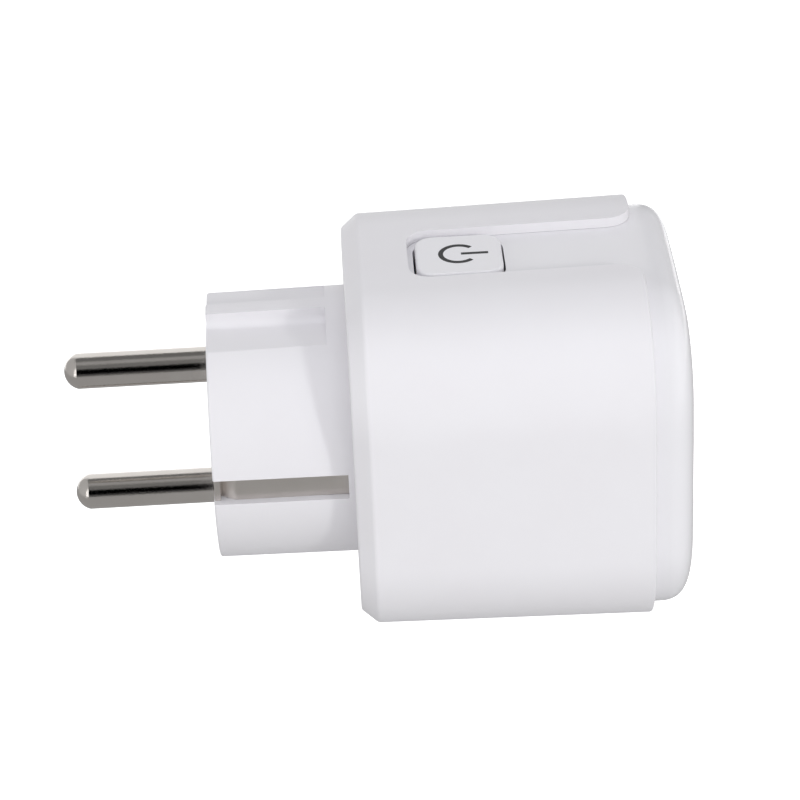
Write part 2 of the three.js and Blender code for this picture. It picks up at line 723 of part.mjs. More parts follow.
// Torsion spring on the pivot post, behind the frame.
function shutterSpring() {
  const wireRadius = 0.25;
  const turns = 2;
  const pitch = 0.6;
  const radius = shutterPostDiameter / 2 + 3 * wireRadius + seatGap;
  class Coil extends THREE.Curve {
    getPoint(t, target = new THREE.Vector3()) {
      const angle = t * turns * 2 * Math.PI;
      return target.set(t * turns * pitch, radius * Math.cos(angle), radius * Math.sin(angle));
    }
  }
  const wire = new THREE.Shape().absarc(0, 0, wireRadius, 0, 2 * Math.PI);
  const coil = new THREE.ExtrudeGeometry(wire, {
    steps: 14 * turns, curveSegments: 2, bevelEnabled: false, extrudePath: new Coil(),
  });
  const mesh = piece("shutter_spring", solid(coil), springSteel);
  mesh.position.x = frameRear - seatGap - wireRadius - turns * pitch;
  return mesh;
}

// ---------------------------------------------------------------- button

function powerButton() {
  const capBottom = flangeTop - 0.1;
  const cap = new THREE.ExtrudeGeometry(buttonOutline(-buttonEdge), {
    depth: buttonTop - capBottom - 2 * buttonEdge, bevelSize: buttonEdge, bevelThickness: buttonEdge,
    bevelSegments: 2, curveSegments: 4,
  });
  const flange = plateZ(buttonOutline(buttonFlange), flangeBottom, flangeTop);
  const stem = rodZ(buttonStemDiameter / 2, stemBottom, flangeBottom + 0.1, buttonMiddle, 0);
  return piece(
    "power_button", join(solid(cap.translate(0, 0, capBottom + buttonEdge)), flange, stem), whiteShell,
  );
}

// Small board under the button, standing off the main board's front.
function buttonBoard() {
  return piece(
    "button_board",
    block(partsFront, frameRear - 2 * seatGap, -7, 7, buttonBoardBottom, buttonBoardTop),
    boardGreen,
  );
}

function tactSwitchBody() {
  const half = tactSize / 2;
  const outline = roundedRectangle(tactSize, tactSize, 0.6, buttonMiddle, 0);
  const body = plateZ(outline, tactBottom, tactTop);
  const bore = rodZ(tactPlungerDiameter / 2 + seatGap, tactBottom + half / 3, far, buttonMiddle, 0);
  return piece("tact_switch_body", cut(body, bore), blackPlastic);
}

function tactSwitchPlunger() {
  const bottom = tactBottom + tactSize / 6 + buttonTravel + seatGap;
  return piece(
    "tact_switch_plunger", rodZ(tactPlungerDiameter / 2, bottom, plungerTop, buttonMiddle, 0), blackPlastic,
  );
}

function statusLed() {
  const x = buttonMiddle - tactSize / 2 - 2.2;
  const bottom = buttonBoardTop + seatGap;
  const base = block(x - 0.8, x + 0.8, -1.6, 1.6, bottom, bottom + 0.7);
  const lens = rodZ(0.7, bottom + 0.6, bottom + 1.2, x, 0, 12);
  return piece("status_led", join(base, lens), clearAmber);
}

// ---------------------------------------------------------------- electronics

// The power board lies across the body, behind the reach of an inserted pin.
function mainBoard() {
  const half = bodyHalfAt(boardRear) - housingWall - boardEdgeGap;
  const corner = bodyCornerAt(boardRear) - housingWall - boardEdgeGap;
  const plate = plateX(roundedRectangle(2 * half, 2 * half, corner), boardRear, boardFront, 8);
  const tailHole = (z) => rodX(pinTailDiameter / 2 + seatGap, 0, far, 0, z);
  const postHole = (y) => rodX(screwPostDiameter / 2 + seatGap, 0, far, y);
  const strapHole = block(
    0, far, stripInner - seatGap, stripOuter + seatGap, -earthSlotWidth / 2, earthSlotWidth / 2,
  );
  return piece(
    "main_board",
    cut(
      plate, tailHole(pinHeights.live), tailHole(pinHeights.neutral), postHole(screwY), postHole(-screwY),
      strapHole, mirroredY(strapHole),
    ),
    boardGreen,
  );
}

// A box-shaped part soldered to the front of the main board, from its low corner at (y, z).
function boardPart(name, height, y, width, z, rise, material, corner = 0.6) {
  const outline = roundedRectangle(width, rise, corner, y + width / 2, z + rise / 2);
  return piece(name, plateX(outline, partsFront, partsFront + height, 2), material);
}

// A round part that hangs from the back of the board into the boss, beside the pin tails.
function bossPart(name, diameter, length, ySign, zSign, material) {
  const place = 7.4; // from the plug's axis, across and up
  const groove = 0.35;
  const neckEnd = partsRear - 1.3;
  const [y, z] = [ySign * place, zSign * place];
  const can = rodX(diameter / 2, partsRear - length, partsRear, y, z);
  const core = rodX(diameter / 2 - groove, 0, far, y, z);
  const neck = cut(rodX(diameter, neckEnd - 2 * groove, neckEnd, y, z), core);
  return piece(name, cut(can, neck), material);
}

// A disc standing on its edge at the front of the main board.
function varistor() {
  const radius = 4.5;
  const leadLength = 0.6;
  const disc = rodY(radius, 14, 17.6, partsFront + leadLength + radius, 11);
  const foot = block(partsFront, partsFront + leadLength + 1.5, 14.9, 16.7, 9, 13);
  return piece("varistor", join(disc, foot), discBlue);
}

function wifiBoard() {
  const board = block(partsFront, frameRear - 2 * seatGap, 12.3, 13.3, -19, -4.8);
  return piece("wifi_board", board, boardGreen);
}

function wifiShield() {
  const outline = roundedRectangle(9.6, 10.4, 0.6, partsFront + 7.4, -11.6);
  const can = new THREE.ExtrudeGeometry(outline, {
    depth: 1.6, bevelSize: 0.3, bevelThickness: 0.3, bevelSegments: 1, bevelOffset: -0.3, curveSegments: 2,
  });
  can.applyMatrix4(new THREE.Matrix4().makeBasis(xAxis, zAxis, yAxis.clone().negate()));
  return piece("wifi_shield", solid(can.translate(0, 15.5, 0)), canSilver);
}

// ---------------------------------------------------------------- fasteners

function housingScrew(name, y) {
  const headFront = screwHeadSink + screwHeadHeight;
  const head = rodX(screwHeadDiameter / 2, screwHeadSink, headFront, y);
  const shank = rodX(screwShankDiameter / 2, headFront - 0.1, screwEnd, y, 0, 16);
  const slots = join(
    block(0, screwHeadSink + 0.9, y - 1.5, y + 1.5, -0.35, 0.35),
    block(0, screwHeadSink + 0.9, y - 0.35, y + 0.35, -1.5, 1.5),
  );
  return piece(name, cut(join(head, shank), slots), springSteel);
}

// ---------------------------------------------------------------- assembly

const casing = groupOf(rearHousing(), frontCover(), socketInsert());

const plugSide = groupOf(
  plugPin("live_pin", pinHeights.live),
  plugPin("neutral_pin", pinHeights.neutral),
  pinCarrier(),
);

const earthSide = groupOf(
  earthStrap("earth_strap_left", -1),
  earthStrap("earth_strap_right", 1),
  earthLink(),
);

const socketSide = groupOf(
  socketContact("live_contact", pinHeights.live),
  socketContact("neutral_contact", pinHeights.neutral),
  shutter(),
  shutterFrame(),
  shutterSpring(),
);

const control = groupOf(
  powerButton(), buttonBoard(), tactSwitchBody(), tactSwitchPlunger(), statusLed(),
);

const electronics = groupOf(
  mainBoard(),
  boardPart("relay", 14, -laneOuter, laneOuter - laneInner, -laneFoot - 15.5, 15.5, boxYellow),
  boardPart("film_capacitor", 12, -laneInner - 8.6, 6, laneFoot, 12.4, boxYellow),
  boardPart("fuse", 8, laneInner + 2.4, 4, laneFoot, 8.4, blackPlastic),
  boardPart("bridge_rectifier", 2.6, laneInner + 2.4, 3.8, laneFoot + 10.5, 4, blackPlastic, 0.3),
  boardPart("metering_chip", 1.6, -3, 6, -4.9, 9.8, blackPlastic, 0.3),
  boardPart("supply_chip", 1.6, -laneOuter - 4.2, 3.5, laneFoot + 1, 5, blackPlastic, 0.3),
  varistor(),
  bossPart("bulk_capacitor_1", 8, 12, 1, 1, sleeveBlue),
  bossPart("bulk_capacitor_2", 8, 12, 1, -1, sleeveBlue),
  bossPart("supply_inductor", 7, 9, -1, 1, copper),
  bossPart("noise_choke", 6, 8, -1, -1, copper),
  wifiBoard(),
  wifiShield(),
);

const fasteners = groupOf(
  housingScrew("housing_screw_1", screwY),
  housingScrew("housing_screw_2", -screwY),
);

const smartPlug = groupOf(casing, plugSide, earthSide, socketSide, control, electronics, fasteners);

export default smartPlug;
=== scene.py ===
# %% [markdown]
# # A smart plug, finished around its frame
#
# This lesson takes a plug whose construction is already known, piece by piece, and gives it the
# surfaces that the eye sees: the moulded housing, the glossy front cover, the recess, the metal
# pins and earth straps, and the power button with its printed sign. The frame holds where every
# piece sits, so all places here are read from it or written as named sizes. +X points out of the
# socket, the pins point to -X, and the button is on top, at +Z.

# %% Load the frame
from math import acos, asin, atan2, cos, pi, radians, sin

import bmesh
import bpy
from mathutils import Matrix, Vector


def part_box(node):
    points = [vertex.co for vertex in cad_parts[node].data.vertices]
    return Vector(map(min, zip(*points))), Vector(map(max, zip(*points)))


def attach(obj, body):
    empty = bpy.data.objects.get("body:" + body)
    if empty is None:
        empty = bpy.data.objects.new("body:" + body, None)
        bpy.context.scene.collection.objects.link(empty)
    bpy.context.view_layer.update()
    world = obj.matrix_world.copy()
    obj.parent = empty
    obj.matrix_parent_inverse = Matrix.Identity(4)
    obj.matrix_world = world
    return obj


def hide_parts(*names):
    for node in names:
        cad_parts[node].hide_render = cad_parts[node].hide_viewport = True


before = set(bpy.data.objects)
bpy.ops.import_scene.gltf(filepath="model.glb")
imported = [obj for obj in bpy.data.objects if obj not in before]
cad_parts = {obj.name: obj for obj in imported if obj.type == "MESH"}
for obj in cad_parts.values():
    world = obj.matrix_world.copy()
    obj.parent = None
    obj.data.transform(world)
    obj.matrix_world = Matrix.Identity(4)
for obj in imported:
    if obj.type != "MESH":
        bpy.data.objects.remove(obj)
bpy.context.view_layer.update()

MM = 0.001  # one millimetre in Blender's metres

# %% [markdown]
# ## Sizes
#
# A box drawn round each node of the frame gives the outer places. What a box can't give, such as
# a corner's radius or a wall, is a named size in millimetres. Everything else follows from these,
# so that a shell, the cover under it and the recess behind it still fit each other.

# %% Places read from the frame
housing_low, housing_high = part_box("rear_housing")
cover_low, cover_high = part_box("front_cover")
insert_low, insert_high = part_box("socket_insert")
button_low, button_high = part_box("power_button")
live_low, live_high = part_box("live_pin")
screw_low, screw_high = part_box("housing_screw_1")
BODY_FRONT = housing_high.x
BODY_HALF = housing_high.y
PIN_HEIGHT = (live_low.z + live_high.z) / 2
SCREW_SIDE = (screw_low.y + screw_high.y) / 2
BUTTON_TOP = button_high.z
print("rim at", round(BODY_FRONT / MM, 2), "mm, half width", round(BODY_HALF / MM, 2), "mm")

# %% Sizes of the plug side
BOSS_FACE_RADIUS = 17.9 * MM
BOSS_ROOT_RADIUS = 18.1 * MM
BOSS_LENGTH = 18.6 * MM
BOSS_FACE_WALL = 2.6 * MM
BOSS_HOLLOW_RADIUS = 15.5 * MM
BOSS_HOLLOW_HALF_WIDTH = 12.2 * MM
BOSS_HOLLOW_HALF_HEIGHT = 14.2 * MM
GUIDE_HEIGHT = 15.95 * MM  # axis to the flats above and below
GUIDE_HALF_WIDTH = 8.2 * MM
GUIDE_LENGTH = 15.9 * MM
GUIDE_RIB_HALF_WIDTH = 1.4 * MM
GUIDE_RIB_FILLET = 1.1 * MM
EARTH_SLOT_LENGTH = 17.8 * MM
EARTH_SLOT_HALF = 1.8 * MM
EARTH_SLOT_FLOOR = 15.7 * MM
EARTH_NOSE_FLOOR = 13.7 * MM
EARTH_NOSE_LENGTH = 3.4 * MM
PIN_RADIUS = 2.4 * MM

# %% Sizes of the body
BODY_CORNER = 15.1 * MM
BODY_DRAFT_DROP = 0.55 * MM  # each side is this much nearer the axis at the rear chamfer
CHAMFER = 2.2 * MM  # along X
CHAMFER_DROP = 1.9 * MM  # towards the axis
HOUSING_WALL = 2 * MM
REAR_WALL = 2.2 * MM
RIM_LAP = 3.3 * MM
FIT = 0.05 * MM  # closed joint between two shells
NOTCH_LENGTH = 30.4 * MM
NOTCH_HALF = 6.6 * MM
NOTCH_CORNER = 3 * MM
NOTCH_MOUTH = 3.4 * MM

# %% Sizes of the cover and the socket
COVER_STEP = 1.43 * MM  # housing's surface in to the cover's
COVER_WALL = 1.8 * MM
COVER_STRAIGHT = 1.1 * MM
PILLOW_RISE = 4.2 * MM
PILLOW_INSET = 7.2 * MM
PILLOW_POWER = 2.74
DOME_RISE = 0.44 * MM
DOME_RADIUS = 31.7 * MM
SOCKET_RADIUS = 19.7 * MM
SOCKET_WALL = 1.5 * MM
SOCKET_DEPTH = 17.5 * MM
PIN_HOLE_RADIUS = 3 * MM
TONGUE_LAP = 1.5 * MM
TONGUE_WALL = 1.5 * MM
SEAT_GAP = 0.3 * MM
PILLOW_START = BODY_FRONT + COVER_STRAIGHT
FACE_AT_HOLE = PILLOW_START + PILLOW_RISE + DOME_RISE * (1 - (SOCKET_RADIUS / DOME_RADIUS) ** 2)
RECESS_FLOOR = FACE_AT_HOLE - SOCKET_DEPTH

# %% Sizes of the button
BUTTON_SETBACK = 1.05 * MM
BUTTON_LENGTH = 11.5 * MM
BUTTON_HALF_WIDTH = 5.4 * MM
BUTTON_CORNER = 2.5 * MM
NOTCH_REAR = BODY_FRONT - NOTCH_LENGTH
BUTTON_REAR = NOTCH_REAR + BUTTON_SETBACK
BUTTON_FRONT = BUTTON_REAR + BUTTON_LENGTH
print("button from", round(BUTTON_REAR / MM, 2), "to", round(BUTTON_FRONT / MM, 2), "mm")

# %% [markdown]
# ## Tools for the bench
#
# Operators act on whatever is selected, so each helper deselects everything first and then
# selects what it needs, by its place or its normal. A finished piece keeps its object at the
# origin and its place in its mesh, which is what transform_apply does after a primitive is added.

# %% Add a primitive and settle it
def settled(name):
    """Names the new primitive and puts its place, turn and size into its mesh."""
    piece = bpy.context.object
    piece.name = piece.data.name = name
    bpy.ops.object.transform_apply(location=True, rotation=True, scale=True)
    return piece


def block(name, low, high):
    """A box between two corners."""
    low, high = Vector(low), Vector(high)
    bpy.ops.object.select_all(action="DESELECT")
    bpy.ops.mesh.primitive_cube_add(size=1, location=(low + high) / 2)
    bpy.context.object.scale = high - low
    return settled(name)


def rod(name, x_low, x_high, radius, far_radius=None, y=0, z=0, sides=128):
    """A round rod or cone along X."""
    bpy.ops.object.select_all(action="DESELECT")
    bpy.ops.mesh.primitive_cone_add(
        vertices=sides, radius1=radius, radius2=far_radius or radius, depth=x_high - x_low,
        location=((x_low + x_high) / 2, y, z), rotation=(0, pi / 2, 0),
    )
    return settled(name)


# %% Select, shape and carve
def centre(part):
    """The middle of a face or an edge, or the place of a vertex."""
    corners = getattr(part, "verts", None) or [part]
    return sum((corner.co for corner in corners), Vector()) / len(corners)


def edit(piece, kind, chosen):
    """Opens a piece in edit mode with only the chosen vertices, edges or faces selected."""
    bpy.ops.object.select_all(action="DESELECT")
    piece.select_set(True)
    bpy.context.view_layer.objects.active = piece
    bpy.ops.object.mode_set(mode="EDIT")
    bpy.ops.mesh.select_mode(type=kind)
    bpy.ops.mesh.select_all(action="DESELECT")
    form = bmesh.from_edit_mesh(piece.data)
    parts = {"VERT": form.verts, "EDGE": form.edges, "FACE": form.faces}[kind]
    picked = [part for part in parts if chosen(part)]
    for part in picked:
        part.select_set(True)
    bmesh.update_edit_mesh(piece.data)
    return len(picked)


def done():
    """Leaves edit mode."""
    bpy.ops.object.mode_set(mode="OBJECT")


def bevel(piece, width, steps, chosen, affect="EDGES", clamp=False):
    """Rounds the chosen edges or corners of a piece."""
    count = edit(piece, "VERT" if affect == "VERTICES" else "EDGE", chosen)
    if count:
        bpy.ops.mesh.bevel(offset=width, segments=steps, affect=affect, clamp_overlap=clamp)
    done()
    return count


def apply_modifier(piece, kind, **settings):
    """Gives a piece a modifier and applies it at once."""
    bpy.context.view_layer.objects.active = piece
    modifier = piece.modifiers.new(kind.lower(), kind)
    for setting, value in settings.items():
        setattr(modifier, setting, value)
    bpy.ops.object.modifier_apply(modifier=modifier.name)


def carve(piece, *tools, operation="DIFFERENCE"):
    """Cuts a piece with each tool, or joins them to it, and puts the tools away."""
    for tool in tools:
        apply_modifier(piece, "BOOLEAN", object=tool, operation=operation, solver="EXACT")
        bpy.data.objects.remove(tool)
    return piece


# %% Tidy a finished piece
SMOOTH_ANGLE = radians(32)


def finish(piece, angle=SMOOTH_ANGLE):
    """Closes doubles, turns the faces out and shades round surfaces smooth and edges sharp."""
    edit(piece, "VERT", lambda vertex: True)
    bpy.ops.mesh.remove_doubles(threshold=0.002 * MM)
    bpy.ops.mesh.normals_make_consistent(inside=False)
    done()
    bpy.ops.object.shade_smooth_by_angle(angle=angle)
    apply_modifier(piece, "WEIGHTED_NORMAL", keep_sharp=True, weight=60)
    print(piece.name, "has", len(piece.data.polygons), "faces")
    return piece


# %% [markdown]
# ## The rear housing
#
# One injection moulding makes the round plug boss and the rounded-square body, with about two
# millimetres of wall. Its sides lean in slightly towards the rear, so that it leaves the mould,
# and its rear edge is a flat chamfer. It could be drawn as one outline and extruded, but the
# lean, the flats of the boss and the notch all run in different directions, so it is built as a
# toolmaker would: a solid block is shaped first, and then it is cut with tools of the right form.

# %% A drafted rounded-square block
CORNER_STEPS = 24
CHAMFER_END = BOSS_LENGTH + CHAMFER
DRAFT = BODY_DRAFT_DROP / (BODY_FRONT - CHAMFER_END)


def body_half(x):
    """Half the body's width at a station along X."""
    return BODY_HALF - DRAFT * (BODY_FRONT - x)


def rounded_block(name, x_low, x_high, inset):
    """The body's outer form moved in by a distance, between two stations."""
    half = body_half(x_high) - inset
    piece = block(name, (x_low, -half, -half), (x_high, half, half))
    bevel(
        piece, BODY_CORNER - inset, CORNER_STEPS,
        lambda edge: abs(edge.verts[0].co.x - edge.verts[1].co.x) > MM,
    )
    edit(piece, "VERT", lambda vertex: vertex.co.x < x_low + 0.01 * MM)
    lean = (body_half(x_low) - inset) / half
    bpy.ops.transform.resize(value=(1, lean, lean), center_override=(x_low, 0, 0))
    done()
    return piece


def at_x(x, reach=0.02 * MM):
    """A test for parts that lie in the plane at x."""
    def test(part):
        return all(abs(vertex.co.x - x) < reach for vertex in getattr(part, "verts", [part]))
    return test


body = rounded_block("rear_housing_shell", BOSS_LENGTH, BODY_FRONT, 0)
print("body block:", len(body.data.vertices), "vertices")

# %% Chamfer the rear edge and soften the rims
EDGE_ROUND = 0.3 * MM
bevel(body, CHAMFER, 1, at_x(BOSS_LENGTH))
edit(body, "VERT", at_x(BOSS_LENGTH))
rear_half = body_half(BOSS_LENGTH)
flatter = (rear_half - CHAMFER_DROP) / (rear_half - CHAMFER)
bpy.ops.transform.resize(value=(1, flatter, flatter), center_override=(BOSS_LENGTH, 0, 0))
done()
bevel(body, EDGE_ROUND, 3, at_x(BOSS_LENGTH))
bevel(body, EDGE_ROUND, 3, at_x(CHAMFER_END, 0.1 * MM))
bevel(body, EDGE_ROUND, 3, at_x(BODY_FRONT))

# %% The round boss
boss = rod("boss", 0, BOSS_LENGTH + REAR_WALL, BOSS_FACE_RADIUS, BOSS_ROOT_RADIUS)
bevel(boss, EDGE_ROUND, 3, at_x(0))
carve(body, boss, operation="UNION")

# %% Hollow the body and the boss
FAR = 80 * MM
boss_hollow = rod("boss_hollow", BOSS_FACE_WALL, BOSS_LENGTH + REAR_WALL + MM, BOSS_HOLLOW_RADIUS)
carve(
    boss_hollow,
    block("boss_hollow_limits", (0, -BOSS_HOLLOW_HALF_WIDTH, -BOSS_HOLLOW_HALF_HEIGHT),
          (FAR, BOSS_HOLLOW_HALF_WIDTH, BOSS_HOLLOW_HALF_HEIGHT)),
    operation="INTERSECT",
)
CAVITY_REAR = BOSS_LENGTH + REAR_WALL
lap_inset = COVER_STEP - FIT
tongue_half = NOTCH_HALF + TONGUE_LAP
tongue_rear = NOTCH_REAR - TONGUE_LAP
under_tongue = block(
    "tongue_room", (tongue_rear - FIT, -tongue_half - FIT, 0), (FAR, tongue_half + FIT, FAR),
)
carve(under_tongue, rounded_block("tongue_level", CAVITY_REAR, BODY_FRONT + 2 * MM, lap_inset),
      operation="INTERSECT")
carve(
    body, boss_hollow,
    rounded_block("cavity", CAVITY_REAR, BODY_FRONT + MM, HOUSING_WALL),
    rounded_block("rim_step", BODY_FRONT - RIM_LAP - FIT, BODY_FRONT + MM, lap_inset),
    under_tongue,
)
print("hollow shell:", len(body.data.vertices), "vertices")

# %% [markdown]
# The boss carries the features that every plug of this kind has: a pair of flats above and
# below, each split by a rib that keeps the full round height, and a slot down each side for an
# earth strip. Each is one straight cut, so each tool is a plain block.

# %% Guide flats, earth slots, pin holes and screw wells
PIN_HOLE_FIT = 0.06 * MM
SCREW_WELL_RADIUS = 2.8 * MM
SCREW_WELL_DEPTH = 3.1 * MM
SCREW_BORE_RADIUS = 1.5 * MM
SCREW_CUP_RADIUS = 3.9 * MM
SCREW_CUP_DEPTH = 5 * MM
SCREW_TUBE_RADIUS = 3 * MM
SLOT_RIM_ROUND = 0.15 * MM
TUNNEL_DEPTH = 1.4 * MM
for side in (1, -1):
    for height in (1, -1):
        y = sorted((side * GUIDE_RIB_HALF_WIDTH, side * GUIDE_HALF_WIDTH))
        z = sorted((height * GUIDE_HEIGHT, height * FAR))
        flat = block("guide_flat", (-MM, y[0], z[0]), (GUIDE_LENGTH, y[1], z[1]))
        rib_root = Vector((0, side * GUIDE_RIB_HALF_WIDTH, height * GUIDE_HEIGHT))
        bevel(flat, GUIDE_RIB_FILLET, 8,
              lambda edge: all((v.co - rib_root).yz.length < 0.01 * MM for v in edge.verts))
        carve(body, flat)
    for name, length, floor in (
        ("earth_slot", EARTH_SLOT_LENGTH, EARTH_SLOT_FLOOR),
        ("earth_nose_pocket", EARTH_NOSE_LENGTH, EARTH_NOSE_FLOOR),
    ):
        y = sorted((side * floor, side * FAR))
        carve(body, block(name, (-MM, y[0], -EARTH_SLOT_HALF), (length, y[1], EARTH_SLOT_HALF)))
    y = sorted((side * EARTH_SLOT_FLOOR, side * (EARTH_SLOT_FLOOR + TUNNEL_DEPTH)))
    carve(body, block("earth_tunnel", (MM, y[0], -EARTH_SLOT_HALF),
                      (CAVITY_REAR + MM, y[1], EARTH_SLOT_HALF)))
    carve(
        body,
        rod("screw_cup", MM, SCREW_CUP_DEPTH, SCREW_CUP_RADIUS, y=side * SCREW_SIDE, sides=48),
        rod("screw_tube", MM, CAVITY_REAR, SCREW_TUBE_RADIUS, y=side * SCREW_SIDE, sides=48),
        operation="UNION",
    )
    carve(
        body,
        rod("screw_well", -MM, SCREW_WELL_DEPTH, SCREW_WELL_RADIUS, y=side * SCREW_SIDE, sides=64),
        rod("screw_bore", 0, CAVITY_REAR + MM, SCREW_BORE_RADIUS, y=side * SCREW_SIDE, sides=32),
        rod("pin_hole", -MM, BOSS_FACE_WALL + MM, PIN_RADIUS + PIN_HOLE_FIT,
            z=side * PIN_HEIGHT, sides=64),
    )


def on_slot_rim(edge):
    """Whether an edge lies where an earth slot meets the boss's round side."""
    return all(
        abs(abs(vertex.co.z) - EARTH_SLOT_HALF) < 0.01 * MM
        and vertex.co.x < EARTH_SLOT_LENGTH + MM
        and abs(vertex.co.y) > BOSS_FACE_RADIUS - 0.25 * MM for vertex in edge.verts
    )


slot_rims = bevel(body, SLOT_RIM_ROUND, 2, on_slot_rim, clamp=True)
print("boss cut:", len(body.data.vertices), "vertices,", slot_rims, "slot rim edges rounded")

# %% [markdown]
# The notch on top is open to the front. Its closed end has round corners and its mouth flares,
# like the neck of a bottle. A tool with a bar across its front makes both: where stem and bar
# meet there is an inside edge, and rounding it leaves the flare standing on the housing.

# %% Cut the notch
notch = block("notch", (NOTCH_REAR, -NOTCH_HALF, BODY_HALF / 2), (BODY_FRONT, NOTCH_HALF, FAR))
edit(notch, "FACE", at_x(BODY_FRONT))
bpy.ops.mesh.extrude_region_move(TRANSFORM_OT_translate={"value": (2 * MM, 0, 0)})
done()
for side in (1, -1):
    edit(notch, "FACE", lambda face: face.normal.y * side > 0.9 and centre(face).x > BODY_FRONT)
    bpy.ops.mesh.extrude_region_move(
        TRANSFORM_OT_translate={"value": (0, side * (NOTCH_MOUTH + 2 * MM), 0)}
    )
    done()


def upright_at(x):
    """A test for upright edges of the notch tool at a station."""
    def test(edge):
        low, high = (vertex.co for vertex in edge.verts)
        return (low - high).xy.length < 0.01 * MM and abs(low.x - x) < 0.01 * MM \
            and abs(abs(low.y) - NOTCH_HALF) < 0.01 * MM
    return test


bevel(notch, NOTCH_CORNER, 12, upright_at(NOTCH_REAR))
bevel(notch, NOTCH_MOUTH, 12, upright_at(BODY_FRONT))
carve(body, notch)
finish(body)
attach(body, "plug")
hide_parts("rear_housing")

# %% [markdown]
# ## The front cover
#
# The cover is a second moulding, a little smaller than the housing's rim and polished. Its edge
# rolls over into a slightly crowned face, and a tongue runs back from it under the notch, where
# the button comes through. The roll is a soft curve, squarer than a quarter circle, so it is made
# by insetting and raising one face again and again, which keeps each corner concentric.

# %% A pillow that can be made smaller all round
ROLL_STEPS = 16
SIDE_CUTS = 9
FACE_MARGIN = 2 * MM


def pillow(name, x_rear, inset):
    """The cover's outer form moved in by a distance, with its rolled edge and crowned face."""
    half = BODY_HALF - COVER_STEP - inset
    corner = BODY_CORNER - COVER_STEP - inset
    rise, reach = PILLOW_RISE - inset, PILLOW_INSET - inset
    lean = (body_half(x_rear) - COVER_STEP - inset) / half
    bpy.ops.object.select_all(action="DESELECT")
    bpy.ops.mesh.primitive_plane_add(
        size=2 * half, location=(x_rear, 0, 0), rotation=(0, pi / 2, 0)
    )
    piece = settled(name)
    bevel(piece, corner, CORNER_STEPS, lambda vertex: True, affect="VERTICES")
    edit(piece, "EDGE", lambda edge: edge.calc_length() > half - corner)
    bpy.ops.mesh.subdivide(number_cuts=SIDE_CUTS)
    done()
    edit(piece, "FACE", lambda face: True)
    for x in (BODY_FRONT, PILLOW_START):
        bpy.ops.mesh.extrude_region_move(TRANSFORM_OT_translate={"value": (x - x_rear, 0, 0)})
        x_rear = x
    in_before, up_before = 0, 0
    for step in range(1, ROLL_STEPS + 1):
        angle = step / ROLL_STEPS * pi / 2
        inward = reach * (1 - cos(angle) ** (2 / PILLOW_POWER)) if step < ROLL_STEPS else reach
        upward = rise * sin(angle) ** (2 / PILLOW_POWER)
        bpy.ops.mesh.inset(thickness=inward - in_before, depth=upward - up_before)
        in_before, up_before = inward, upward
    bpy.ops.mesh.inset(thickness=FACE_MARGIN, depth=0)
    bpy.ops.mesh.select_all(action="SELECT")
    bpy.ops.mesh.normals_make_consistent(inside=False)
    done()
    edit(piece, "VERT", lambda vertex: vertex.co.x < BODY_FRONT - 0.01 * MM)
    bpy.ops.transform.resize(value=(1, lean, lean), center_override=(0, 0, 0))
    done()
    for vertex in piece.data.vertices:
        climb = min(max((vertex.co.x - PILLOW_START) / rise, 0), 1)
        crown = 1 - (vertex.co.yz.length / DOME_RADIUS) ** 2
        vertex.co.x += climb * crown * DOME_RISE
    return piece


skirt_rear = BODY_FRONT - RIM_LAP
cover = pillow("front_cover_shell", skirt_rear, 0)
print("pillow:", len(cover.data.vertices), "vertices")

# %% Hollow it, leaving a collar round the hole
COLLAR_REAR = insert_high.x + SEAT_GAP
collar_radius = SOCKET_RADIUS + SOCKET_WALL
inner = pillow("inner_pillow", skirt_rear - MM, COVER_WALL)
carve(inner, rod("collar", COLLAR_REAR, FAR, collar_radius, sides=160))
carve(cover, inner, rod("insert_room", 0, COLLAR_REAR, collar_radius + SEAT_GAP, sides=160))

# %% The tongue under the notch
tongue_top = body_half(tongue_rear) - COVER_STEP
tongue = block("tongue", (tongue_rear, -tongue_half, tongue_top - TONGUE_WALL),
               (BODY_FRONT - RIM_LAP / 2, tongue_half, tongue_top))
edit(tongue, "VERT", lambda vertex: vertex.co.x > BODY_FRONT - RIM_LAP)
lift = DRAFT * (BODY_FRONT - RIM_LAP / 2 - tongue_rear)
bpy.ops.transform.translate(value=(0, 0, lift))
done()
carve(cover, tongue, operation="UNION")

# %% The round opening and the button's hole
BUTTON_GAP_ALONG = 0.3 * MM
BUTTON_GAP_ACROSS = 0.12 * MM
HOLE_ROUND = 0.35 * MM
carve(cover, rod("opening", 0, FAR, SOCKET_RADIUS, sides=160))
button_hole = block(
    "button_hole",
    (BUTTON_REAR - BUTTON_GAP_ALONG, -BUTTON_HALF_WIDTH - BUTTON_GAP_ACROSS, BODY_HALF / 2),
    (BUTTON_FRONT + BUTTON_GAP_ALONG, BUTTON_HALF_WIDTH + BUTTON_GAP_ACROSS, FAR),
)
bevel(button_hole, BUTTON_CORNER + BUTTON_GAP_ACROSS, 10,
      lambda edge: (edge.verts[0].co - edge.verts[1].co).xy.length < 0.01 * MM)
carve(cover, button_hole)


def on_opening_lip(edge):
    """Whether an edge lies where the round opening meets the cover's face."""
    return all(abs(vertex.co.yz.length - SOCKET_RADIUS) < 0.02 * MM
               and vertex.co.x > COLLAR_REAR + MM for vertex in edge.verts) \
        and abs(edge.verts[0].co.x - edge.verts[1].co.x) < 0.3 * MM


print("lip edges:", bevel(cover, HOLE_ROUND, 3, on_opening_lip, clamp=True))
finish(cover)
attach(cover, "plug")
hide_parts("front_cover")

# %% [markdown]
# ## The recess
#
# Behind the opening sits a cup with a flat floor. It has two holes for the pins of another plug,
# noses that run in that plug's flats, and two slots where the earth clips come through. The
# noses are left standing by taking them off the tool before it cuts, as a moulder would.

